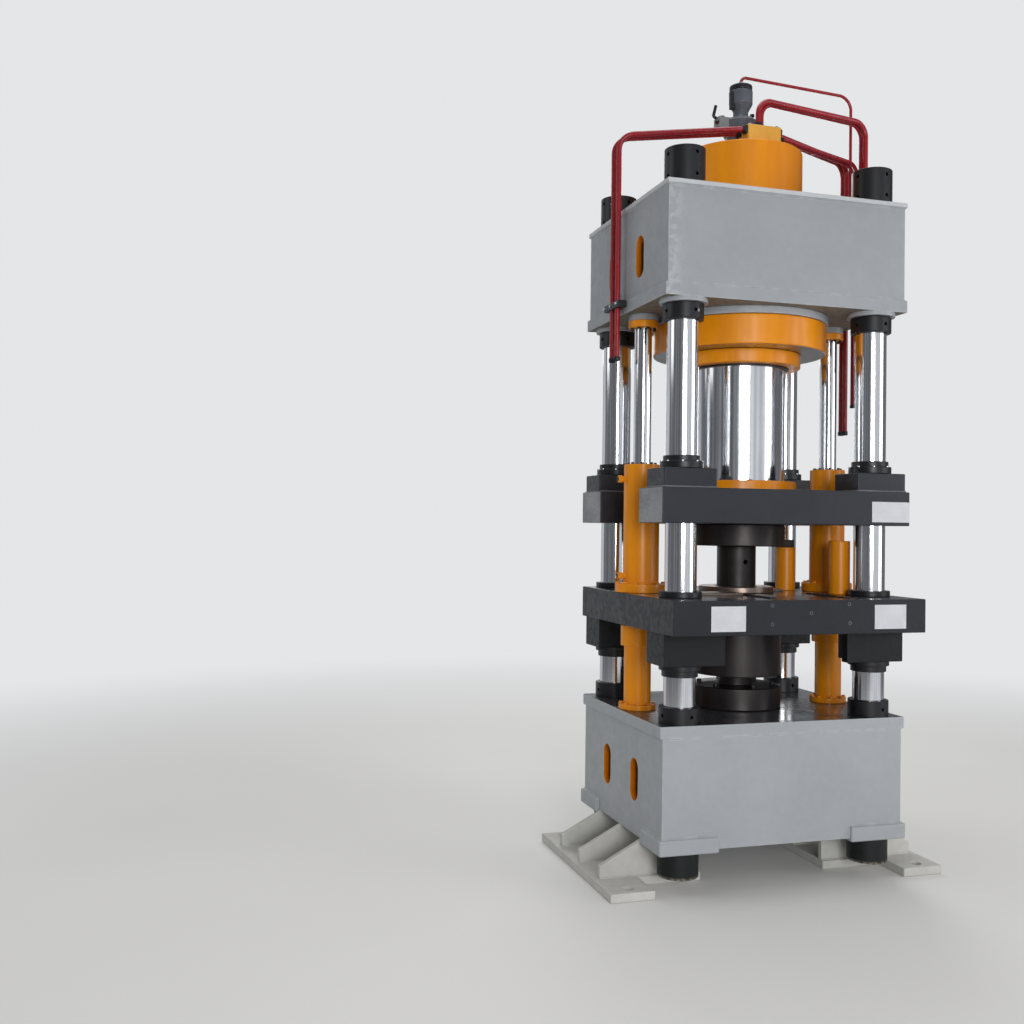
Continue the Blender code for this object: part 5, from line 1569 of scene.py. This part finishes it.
@dataclass
class Platen(Assembly):
    """Floating platen with its bosses, bushes, plates and screws."""

    half_width: float = 0.656
    front: float = 0.660
    back: float = 0.520
    thickness: float = 0.160
    underside: float = 1.212
    boss_outer: Point = (0.6355, 0.514)
    boss_inner: Point = (0.403, 0.314)
    boss_wing: Point = (0.3245, 0.464)
    boss_height: float = 0.155
    column_half: Point = (0.510, 0.414)
    sleeve_radius: float = 0.228
    sleeve_length: float = 0.257
    bore_radius: float = 0.125
    edge: float = 0.004
    bush_height: float = 0.054
    bush_radius: float = 0.085
    bush_flange_radius: float = 0.0985
    bush_flange_height: float = 0.024
    wiper_radius: float = 0.100
    wiper_height: float = 0.028

    def build(self) -> None:
        """Builds the platen."""
        top = self.underside + self.thickness
        stock = Stock()
        stock.block((-self.half_width, -self.front, self.underside), (self.half_width, self.back, top),
                    self.edge)
        bore = Stock()
        bore.turned(disc(self.bore_radius, self.underside - 0.1, top + 0.1))
        stock.cut([bore])
        stock.refinish(1, lambda middle, normal: normal.z > 0.9 and middle.z > top - 0.001)
        bottom = self.underside - self.sleeve_length
        stock.turned(ring(self.sleeve_radius, self.bore_radius, bottom, self.underside), closed=True,
                     soft=0.004, finish=2)
        boss_bottom = self.underside - self.boss_height
        for corner in Corner:
            _, x, y = corner.value
            plan = [self.boss_outer, (self.boss_wing[0], self.boss_outer[1]), self.boss_wing,
                    (self.boss_inner[0], self.boss_wing[1]), self.boss_inner,
                    (self.boss_outer[0], self.boss_inner[1])]
            # The bosses under the platen take the darkest slate as painted shade.
            stock.slab([(x * across, y * along) for across, along in plan], boss_bottom, self.underside,
                       self.edge, finish=4)
            place = upright(x * self.column_half[0], y * self.column_half[1], 0)
            lower = [(0, boss_bottom), (self.bush_flange_radius, boss_bottom),
                     (self.bush_flange_radius, boss_bottom - self.bush_flange_height),
                     (self.bush_radius, boss_bottom - self.bush_flange_height),
                     (self.bush_radius, boss_bottom - self.bush_height), (0, boss_bottom - self.bush_height)]
            stock.turned(lower, place, soft=0.003, finish=3)
            stock.turned(disc(self.wiper_radius, top, top + self.wiper_height), place, soft=0.004, finish=3)
        # The platen body takes the darker slate as painted shade.
        paints = [self.finishes.platen_shade_slate, self.finishes.table, self.finishes.tool, self.finishes.black,
                  self.finishes.boss_shade_slate]
        stock.place("platen_painted", Body.PLATEN, paints, (0, self.axis_y, 0), ["floating_platen"],
                    "slide_slate")
        self._front_plates()
        self._top_plates(top)

    def _front_plates(self) -> None:
        """Builds the bare plates and the screws on the platen's front."""
        for name, left, right, low, high in (("left", -0.474, -0.301, 1.231, 1.346),
                                             ("right", 0.373, 0.545, 1.233, 1.347)):
            stock = Stock()
            stock.block((left, -self.front - PLATE_PROUD, low), (right, -self.front - TOUCH, high),
                        PLATE_EDGE)
            stock.place("platen_bare_plate_" + name, Body.PLATEN, [self.finishes.silver], (0, self.axis_y, 0))
        stock = Stock()
        for x, z in ((-0.166, 1.348), (-0.166, 1.262), (0.036, 1.311), (0.236, 1.351), (0.241, 1.263)):
            stock.socket_screw(facing(x, -self.front + 0.0105, z, (0, -1, 0)), 0.012)
        stock.place("platen_front_screws", Body.PLATEN, [self.finishes.screw_grey], (0, self.axis_y, 0))

    def _top_plates(self, top: float) -> None:
        """Builds the thin clamping bars that lie on the platen's milled top.

        Args:
            top: The height of the platen's top.
        """
        stock = Stock()
        for x, near, far, half in ((0.290, -0.560, -0.230, 0.020), (-0.110, -0.560, -0.225, 0.014)):
            stock.block((x - half, near, top), (x + half, far, top + 0.006), 0.001)
        for x, near, far, half in ((-0.245, -0.330, -0.180, 0.110), (0.190, -0.020, 0.110, 0.075)):
            stock.block((x - half, near, top), (x + half, far, top + 0.012), 0.002, finish=1)
        stock.place("platen_top_bars", Body.PLATEN, [self.finishes.tool, self.finishes.browned],
                    (0, self.axis_y, 0))


@dataclass
class SideCylinders(Assembly):
    """Lift cylinders on the platen, float cylinders on the bed, and their rods."""

    lift_tube: float = 0.090
    lift_flange: float = 0.130
    lift_flange_thickness: float = 0.044
    float_tube: float = 0.068
    float_flange: float = 0.0935
    float_flange_thickness: float = 0.026
    float_collar: float = 0.0855
    float_collar_height: float = 0.102
    cap_thickness: float = 0.034
    rod_radius: float = 0.044
    float_rod_radius: float = 0.045
    head_screws: float = 0.067
    cap_screws: float = 0.060
    port_radius: float = 0.018
    port_length: float = 0.040

    def build(self) -> None:
        """Builds the cylinders of both sides."""
        for name, side in (member.value for member in Side):
            self._lift(name, side)
            self._lift_rod(name)
            self._float(name)

    def _lift(self, name: str, side: int) -> None:
        """Builds one lift cylinder with its ports and bolts.

        Args:
            name: Its side's name.
            side: Its side's direction along X.
        """
        span = NodeSpan.of("lift_cylinder_" + name)
        rod = NodeSpan.of("lift_rod_" + name)
        foot = (rod.middle.x, rod.middle.y, span.low.z)
        bore = self.rod_radius + TOUCH
        outline = [(bore, span.height), (self.lift_tube, span.height),
                   (self.lift_tube, self.lift_flange_thickness),
                   (self.lift_flange, self.lift_flange_thickness), (self.lift_flange, 0), (bore, 0)]
        stock = Stock()
        stock.turned(outline, closed=True, soft=0.004)
        reach = (self.lift_tube + self.lift_flange) / 2 + 0.002
        for bolt, screw in zip(bolt_circle(8, reach), bolt_circle(8, self.head_screws)):
            stock.hex_bolt(upright(*bolt, self.lift_flange_thickness), 0.012)
            stock.socket_screw(upright(*screw, span.height), 0.010, 1)
        for height in (span.height - 0.075, self.lift_flange_thickness + 0.0375):
            place = facing(side * (self.lift_tube - 0.004), 0, height, (side, 0, 0))
            length = self.port_length
            stock.turned(disc(self.port_radius * 0.8, 0, length), place, soft=0.002, steps=32)
            stock.turned(disc(self.port_radius, length - 0.022, length + 0.003), place, soft=0.002, steps=6)
            stock.turned(disc(self.port_radius * 0.66, length, length + 0.006), place, soft=0.002, steps=24,
                         finish=1)
        stock.place("lift_cylinder_%s_painted" % name, Body.PLATEN,
                    [self.finishes.orange, self.finishes.black], foot, ["lift_cylinder_" + name],
                    "cylinder_orange")

    def _lift_rod(self, name: str) -> None:
        """Builds one lift rod with its bolted cap.

        Args:
            name: Its side's name.
        """
        span = NodeSpan.of("lift_rod_" + name)
        stock = Stock()
        stock.turned(disc(self.rod_radius, 0, span.height - self.cap_thickness), soft=0.003)
        cap_foot = span.height - self.cap_thickness
        stock.turned(disc(span.radius, cap_foot, span.height), soft=0.004, finish=1)
        for x, y in bolt_circle(8, self.cap_screws, 0):
            stock.socket_screw(facing(x, y, cap_foot, (0, 0, -1)), 0.010, 2)
        metals = [self.finishes.chrome, self.finishes.orange, self.finishes.black]
        stock.place("lift_rod_%s_ground" % name, Body.FRAME, metals, span.foot, ["lift_rod_" + name],
                    "chrome_steel")

    def _float(self, name: str) -> None:
        """Builds one float cylinder with its collar, and the rod in it.

        Args:
            name: Its side's name.
        """
        span = NodeSpan.of("float_cylinder_" + name)
        collar_foot = span.height - self.float_collar_height
        outline = [(0, span.height), (self.float_collar, span.height), (self.float_collar, collar_foot),
                   (self.float_tube, collar_foot), (self.float_tube, self.float_flange_thickness),
                   (self.float_flange, self.float_flange_thickness), (self.float_flange, 0), (0, 0)]
        stock = Stock()
        stock.turned(outline, soft=0.003)
        for x, y in bolt_circle(8, (self.float_tube + self.float_flange) / 2 + 0.001):
            stock.hex_bolt(upright(x, y, self.float_flange_thickness), 0.011)
        stock.place("float_cylinder_%s_painted" % name, Body.FRAME, [self.finishes.orange], span.foot,
                    ["float_cylinder_" + name], "cylinder_orange")
        rod = NodeSpan.of("float_rod_" + name)
        stock = Stock()
        stock.turned(disc(self.float_rod_radius, 0, rod.height), soft=0.003, steps=64)
        stock.place("float_rod_%s_ground" % name, Body.PLATEN, [self.finishes.chrome], rod.foot,
                    ["float_rod_" + name], "chrome_steel")


@dataclass
class HeadFittings(Assembly):
    """Manifold block and prefill valve on the main cylinder's head."""

    neck_radius: float = 0.075
    neck_height: float = 0.120
    base_height: float = 0.090
    waist_radius: float = 0.039
    waist_height: float = 0.035
    taper_height: float = 0.040
    body_radius: float = 0.061
    body_height: float = 0.068
    valve_bolts: float = 0.056

    def build(self) -> None:
        """Builds the block, the valve and their small fittings."""
        block = NodeSpan.of("manifold_block")
        size = block.high - block.low
        stock = Stock()
        stock.block((-size.x / 2, -size.y / 2, 0), (size.x / 2, size.y / 2, size.z), 0.007)
        for x, y in ((-0.074, 0.038), (0.074, 0.038), (-0.074, -0.038), (0.074, -0.038)):
            stock.socket_screw(upright(x, y, size.z - 0.006), 0.012, 1)
        for along in (-0.033, 0.033):
            stock.block((-size.x / 2 - 0.014, along - 0.018, size.z - 0.046),
                        (-size.x / 2 + 0.002, along + 0.018, size.z - 0.008), 0.002, finish=2)
            plug = facing(size.x / 2 - 0.003, along, size.z - 0.019, (1, 0, 0))
            stock.turned(disc(0.017, 0, 0.012), plug, soft=0.002, steps=24, finish=2)
        paints = [self.finishes.yellow, self.finishes.zinc, self.finishes.tool]
        stock.place("manifold_block_painted", Body.FRAME, paints, block.foot, ["manifold_block"],
                    "cylinder_orange")
        self._valve()

    def _valve(self) -> None:
        """Builds the prefill valve with its cap, elbow and side box."""
        valve = NodeSpan.of("prefill_valve")
        base_top = self.neck_height + self.base_height
        waist_top = base_top + self.waist_height
        taper_top = waist_top + self.taper_height
        cap_foot = taper_top + self.body_height
        base = valve.radius
        outline = [(0, cap_foot), (self.body_radius, cap_foot), (self.body_radius, taper_top),
                   (self.waist_radius, waist_top), (self.waist_radius, base_top), (base * 0.72, base_top),
                   (base, base_top - 0.020), (base, self.neck_height), (self.neck_radius, self.neck_height),
                   (self.neck_radius, 0), (0, 0)]
        stock = Stock()
        stock.turned(outline, soft=0.004, steps=64)
        stock.turned(disc(self.body_radius - 0.002, cap_foot, valve.height), soft=0.008, steps=64, finish=1)
        for x, y in bolt_circle(6, self.valve_bolts, 0):
            stock.hex_bolt(upright(x, y, base_top - 0.004), 0.009, 2)
        side = self.body_radius + 0.012
        stock.block((-self.body_radius - 0.010, -0.030, waist_top + 0.004),
                    (-self.body_radius + 0.016, -0.006, cap_foot - 0.010), 0.003, finish=1)
        stock.turned(disc(0.010, 0, 0.020), facing(0.040, -0.030, base_top + 0.012, (0.7, -0.7, 0)),
                     soft=0.002, steps=6, finish=1)
        stock.turned(disc(0.012, 0, 0.026), facing(base - 0.004, -0.030, base_top - 0.030, (1, -0.2, 0)),
                     soft=0.002, steps=6, finish=2)
        stock.block((-base - 0.050, -0.030, self.neck_height + 0.006),
                    (-base + 0.012, 0.034, self.neck_height + 0.084), 0.005, finish=3)
        route = bent_route([(-base - 0.020, 0, self.neck_height + 0.070),
                            (-base - 0.020, 0, self.neck_height + 0.106),
                            (-base - 0.056, -0.02, self.neck_height + 0.050)], [0.012])
        stock.tube(route, 0.012, 1)
        raised = bent_route([(-base - 0.030, 0.010, self.neck_height + 0.078),
                             (-base - 0.064, 0.010, self.neck_height + 0.092),
                             (-base - 0.050, 0.010, self.neck_height + 0.150)], [0.012])
        stock.tube(raised, 0.008, 1)
        stock.turned(disc(0.017, -0.006, 0.010), upright(-base - 0.020, 0, self.neck_height + 0.084),
                     soft=0.002, steps=6, finish=1)
        stock.turned(disc(side * 0.19, -0.001, 0.022), upright(0, 0, valve.height), soft=0.002, steps=6,
                     finish=2)
        paints = [self.finishes.valve, self.finishes.black, self.finishes.zinc, self.finishes.box_grey]
        stock.place("prefill_valve_body", Body.FRAME, paints, valve.foot, ["prefill_valve"], "valve_grey")


@dataclass
class OilPipes(Assembly):
    """Painted steel pipes, their nuts and their clamp."""

    radius: float = 0.0135
    thin_radius: float = 0.0095
    pilot_radius: float = 0.008
    bend: float = 0.075
    standoff: float = 0.026
    floor_half: float = 0.6465
    stub: float = 0.030
    port_spacing: float = 0.066
    clearance: float = 0.005
    left_middle: float = 0.047
    left_drop: float = 1.146
    right_drop: float = 1.480
    hidden_drop: float = 1.300
    pilot_drop: float = 1.000
    pilot_rise: float = 0.050
    pilot_fall: float = 0.018
    pilot_bend: float = 0.030
    over_rise: float = 0.142
    right_first: float = -0.117
    right_spacing: float = 0.034

    def _pipe(self, node: str, corners: Sequence[Place], radius: float, bends: Sequence[float]) -> None:
        """Builds one pipe with a nut at each end.

        Args:
            node: The solid that it stands for.
            corners: The pipe's corners, from the press axis.
            radius: Its outer radius.
            bends: Its bend radii.
        """
        route = bent_route(corners, bends)
        stock = Stock()
        stock.tube(route, radius, sides=28)
        first, second = route[0], route[1]
        stock.turned(disc(radius * 1.45, 0, radius * 1.7), facing(*first, tuple(second - first)),
                     soft=radius * 0.12, steps=6, finish=1)
        last, before = route[-1], route[-2]
        back = tuple(before - last)
        stock.turned(disc(radius * 1.25, 0, radius * 1.6), facing(*last, back), soft=radius * 0.2, steps=24,
                     finish=1)
        stock.place(node + "_painted", Body.FRAME, [self.finishes.red, self.finishes.black],
                    (0, self.axis_y, 0), [node], "pipe_red")

    def build(self) -> None:
        """Builds every pipe and the clamp."""
        block = NodeSpan.of("manifold_block")
        valve = NodeSpan.of("prefill_valve")
        middle_x = block.middle.x
        middle_y = block.middle.y - self.axis_y
        side_x = self.floor_half + self.standoff
        half = self.port_spacing / 2
        run = block.high.z - self.radius * 2
        for name, step in (("front", -half), ("rear", half)):
            start = block.low.x - TOUCH
            port = middle_y + step
            side = self.left_middle + step
            corners = [(start, port, run), (start - self.stub, port, run), (-side_x, side, run),
                       (-side_x, side, run - self.left_drop)]
            self._pipe("left_pipe_" + name, corners, self.radius, (self.bend, self.bend))
        high = block.high.z + self.over_rise
        step = self.radius * 2 + self.clearance
        for index, name in enumerate(("front", "rear")):
            port = (middle_x + (index - 0.5) * step, middle_y + (index - 0.5) * step)
            side = self.right_first + index * self.right_spacing
            corners = [(*port, block.high.z + TOUCH), (*port, high), (side_x, side, high),
                       (side_x, side, high - self.hidden_drop)]
            self._pipe("over_pipe_" + name, corners, self.radius, (self.bend, self.bend))
        face = block.high.x + TOUCH
        low_run = block.low.z + self.radius * 2
        high_run = block.high.z - self.radius - self.clearance
        families = (("thin_pipe_", self.thin_radius, middle_y - half, low_run, self.hidden_drop, 2),
                    ("right_pipe_", self.radius, middle_y + half, high_run, self.right_drop, 5))
        for prefix, radius, port_middle, level, drop, first in families:
            for index, name in enumerate(("front", "rear")):
                port = port_middle + (index - 0.5) * (radius * 2 + self.clearance)
                side = self.right_first + (first + index) * self.right_spacing
                corners = [(face, port, level), (face + self.stub, port, level), (side_x, side, level),
                           (side_x, side, level - drop)]
                self._pipe(prefix + name, corners, radius, (self.bend, self.bend))
        run = valve.high.z + self.pilot_rise
        low = run - self.pilot_fall
        side = self.right_first + 4 * self.right_spacing
        corners = [(0, 0, valve.high.z + TOUCH), (0, 0, run), (side_x, side, low),
                   (side_x, side, low - self.pilot_drop)]
        self._pipe("pilot_pipe", corners, self.pilot_radius, (self.pilot_bend, self.bend))
        self._clamp()

    def _clamp(self) -> None:
        """Builds the clamp that holds the left pipes."""
        span = NodeSpan.of("pipe_clamp")
        size = span.high - span.low
        stock = Stock()
        stock.block((-size.x / 2, -size.y / 2, 0), (size.x / 2, size.y / 2, size.z), 0.004)
        for along in (-0.078, 0.0, 0.078):
            stock.hex_bolt(facing(-size.x / 2, along, size.z / 2, (-1, 0, 0)), 0.010, 1)
        stock.place("pipe_clamp_black", Body.FRAME, [self.finishes.black, self.finishes.zinc], span.foot,
                    ["pipe_clamp"], "blackened_steel")


@dataclass
class Studio:
    """Pale floor, soft lamps and the camera at the photograph's viewing angle."""

    eye: Place = (-2.702, -5.002, 1.691)
    yaw: float = 0.2850
    pitch: float = 0.0140
    roll: float = 0.0126
    lens: float = 38.02
    sensor: float = 36.0
    floor_size: float = 60.0
    fade_start: float = 2.5
    fade_end: float = 9.0
    air: float = 0.40
    backdrop: Colour = (0.78, 0.79, 0.80)
    flag: Colour = (0.02, 0.02, 0.024)
    wall_light: Colour = (0.90, 0.92, 0.96)
    slat_scale: float = 8.0

    def build(self) -> None:
        """Builds the stage, the lamps and the camera."""
        self._floor()
        self._world()
        self._lamps()
        self._camera()

    def _floor(self) -> None:
        """Lays a plain pale floor."""
        shape = bmesh.new()
        bmesh.ops.create_grid(shape, x_segments=1, y_segments=1, size=self.floor_size / 2)
        mesh = bpy.data.meshes.new("studio_floor")
        shape.to_mesh(mesh)
        shape.free()
        material, graph, shader = open_material("pale_floor")
        place = graph.add("ShaderNodeTexCoord").outputs["Object"]
        tone = graph.mix(graph.noise(place, 0.8), srgb(222, 221, 218), srgb(228, 227, 225))
        graph.feed(shader.inputs["Base Color"], tone)
        shader.inputs["Roughness"].default_value = 0.6
        far = graph.add("ShaderNodeVectorMath", operation="LENGTH")
        graph.feed(far.inputs[0], place)
        glow = graph.add("ShaderNodeEmission")
        way = graph.add("ShaderNodeVectorMath", operation="NORMALIZE")
        graph.feed(way.inputs[0], place)
        graph.feed(glow.inputs["Color"], self._shown_colour(graph, way.outputs[0]))
        chooser = graph.add("ShaderNodeMixShader")
        fade = graph.spread(far.outputs["Value"], self.fade_start, self.fade_end)
        graph.feed(chooser.inputs[0], graph.math("MULTIPLY", fade, self._seen(graph)))
        graph.feed(chooser.inputs[1], shader.outputs[0])
        graph.feed(chooser.inputs[2], glow.outputs[0])
        graph.feed(material.node_tree.nodes["Material Output"].inputs["Surface"], chooser.outputs[0])
        mesh.materials.append(material)
        floor = bpy.data.objects.new("studio_floor", mesh)
        floor.location = (0, 0, -0.0005)
        bpy.context.scene.collection.objects.link(floor)

    @staticmethod
    def _seen(graph: Graph) -> bpy.types.NodeSocket:
        """Gives 1 for what the camera, metal and glass see, and 0 for what only lights the room.

        Args:
            graph: The world's or the floor's graph.

        Returns:
            The mask's socket.
        """
        rays = graph.add("ShaderNodeLightPath").outputs
        shown = graph.math("ADD", rays["Is Camera Ray"], rays["Is Glossy Ray"])
        return graph.math("MINIMUM", graph.math("ADD", shown, rays["Is Transmission Ray"]), 1.0)

    def _wall(self, graph: Graph, way: bpy.types.NodeSocket, toward: Place,
              edges: Point) -> bpy.types.NodeSocket:
        """Gives a soft mask of the room's part that lies toward a direction.

        Args:
            graph: The world's graph.
            way: The direction looked in.
            toward: The middle of that part.
            edges: Where the mask starts and ends, as the cosine of the angle from its middle.

        Returns:
            The mask's socket.
        """
        dot = graph.add("ShaderNodeVectorMath", operation="DOT_PRODUCT")
        graph.feed(dot.inputs[0], way)
        dot.inputs[1].default_value = Vector(toward).normalized()
        return graph.spread(dot.outputs["Value"], *edges)

    def _shown_colour(self, graph: Graph, way: bpy.types.NodeSocket) -> bpy.types.NodeSocket:
        """Gives the background: plain and pale, and in metal with a bright wall, soft slats and greyer parts.

        Args:
            graph: The graph of the world or the floor.
            way: The direction looked in.

        Returns:
            The colour's socket.
        """
        split = graph.add("ShaderNodeSeparateXYZ")
        graph.feed(split.inputs[0], way)
        joined = graph.add("ShaderNodeCombineXYZ")
        graph.feed(joined.inputs[0], graph.math("ARCTAN2", split.outputs[1], split.outputs[0]))
        slats = graph.spread(graph.noise(joined.outputs[0], self.slat_scale, 2.0), 0.40, 0.60)
        tone = graph.math("ADD", graph.math("MULTIPLY", slats, 0.22), 0.09)
        bright = self._wall(graph, way, (0.45, -0.80, 0.05), (0.62, 0.93))
        lit = graph.math("MULTIPLY", bright, graph.math("ADD", graph.math("MULTIPLY", slats, 0.35), 0.65))
        behind = graph.math("MULTIPLY", self._wall(graph, way, (-0.45, 0.85, 0.1), (0.86, 0.97)), 0.75)
        above = graph.math("MULTIPLY", self._wall(graph, way, (0, 0, 1), (0.30, 0.75)), 0.75)
        tone = graph.math("MAXIMUM", graph.math("MAXIMUM", tone, lit), graph.math("MAXIMUM", behind, above))
        camera = graph.add("ShaderNodeLightPath").outputs["Is Camera Ray"]
        return graph.mix(camera, graph.mix(tone, self.flag, self.wall_light), self.backdrop)

    def _world(self) -> None:
        """Lights the room softly and shows a pale background."""
        world = bpy.data.worlds.new("studio_air")
        world.use_nodes = True
        bpy.context.scene.world = world
        graph = Graph(world.node_tree)
        room = world.node_tree.nodes["Background"]
        way = graph.add("ShaderNodeTexCoord").outputs["Generated"]
        split = graph.add("ShaderNodeSeparateXYZ")
        graph.feed(split.inputs[0], way)
        height = graph.spread(split.outputs[2], -0.2, 0.9)
        graph.feed(room.inputs["Color"], graph.mix(height, (0.50, 0.50, 0.49), (0.86, 0.87, 0.88)))
        room.inputs["Strength"].default_value = self.air
        shown = graph.add("ShaderNodeBackground")
        graph.feed(shown.inputs["Color"], self._shown_colour(graph, way))
        chooser = graph.add("ShaderNodeMixShader")
        graph.feed(chooser.inputs[0], self._seen(graph))
        graph.feed(chooser.inputs[1], room.outputs[0])
        graph.feed(chooser.inputs[2], shown.outputs[0])
        graph.feed(world.node_tree.nodes["World Output"].inputs["Surface"], chooser.outputs[0])

    def _lamps(self) -> None:
        """Hangs soft lamps round the press."""
        for name, place, aim, size, power in (
                ("key", (-2.0, -9.4, 2.7), (0, 0, 1.5), (3.6, 2.8), 400),
                ("fill", (6.0, -4.4, 2.7), (0, 0, 1.2), (3.0, 4.0), 125),
                ("back", (2.0, 6.5, 5.0), (0, 0, 2.0), (4.0, 3.0), 160),
                ("top", (0, 0, 8.0), (0, 0, 0), (4.0, 4.0), 150),
                ("side_left", (-6.5, 1.5, 4.6), (0, 0, 1.6), (3.0, 2.6), 42)):
            lamp = bpy.data.lights.new("lamp_" + name, "AREA")
            lamp.shape = "RECTANGLE"
            lamp.size, lamp.size_y = size
            lamp.energy = power
            thing = bpy.data.objects.new("lamp_" + name, lamp)
            thing.location = place
            thing.rotation_euler = (Vector(aim) - Vector(place)).to_track_quat("-Z", "Y").to_euler()
            bpy.context.scene.collection.objects.link(thing)

    def _camera(self) -> None:
        """Sets the camera where the photograph was taken from."""
        right = Vector((math.cos(self.yaw), -math.sin(self.yaw), 0))
        forward = Vector((math.sin(self.yaw) * math.cos(self.pitch),
                          math.cos(self.yaw) * math.cos(self.pitch), math.sin(self.pitch)))
        above = right.cross(forward)
        across = right * math.cos(self.roll) + above * math.sin(self.roll)
        upward = above * math.cos(self.roll) - right * math.sin(self.roll)
        turn = Matrix((across, upward, -forward)).transposed()
        camera = bpy.data.cameras.new("photo_camera")
        camera.lens = self.lens
        camera.sensor_width = self.sensor
        thing = bpy.data.objects.new("photo_camera", camera)
        thing.matrix_world = Matrix.Translation(self.eye) @ turn.to_4x4()
        bpy.context.scene.collection.objects.link(thing)
        bpy.context.scene.camera = thing
        bpy.context.scene.view_settings.view_transform = "Standard"


def main() -> None:
    """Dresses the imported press, piece by piece."""
    logging.basicConfig(level=logging.INFO, format="%(name)s: %(message)s")
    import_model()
    finishes = Finishes()
    axis_y = NodeSpan.of("main_ram").middle.y
    for assembly in (Bed, Foot, Crown, ColumnSet, MainCylinder, SlideBeam, Tooling, Platen, SideCylinders,
                     HeadFittings, OilPipes):
        assembly(finishes, axis_y).build()
    Studio().build()


if __name__ == "__main__":
    main()
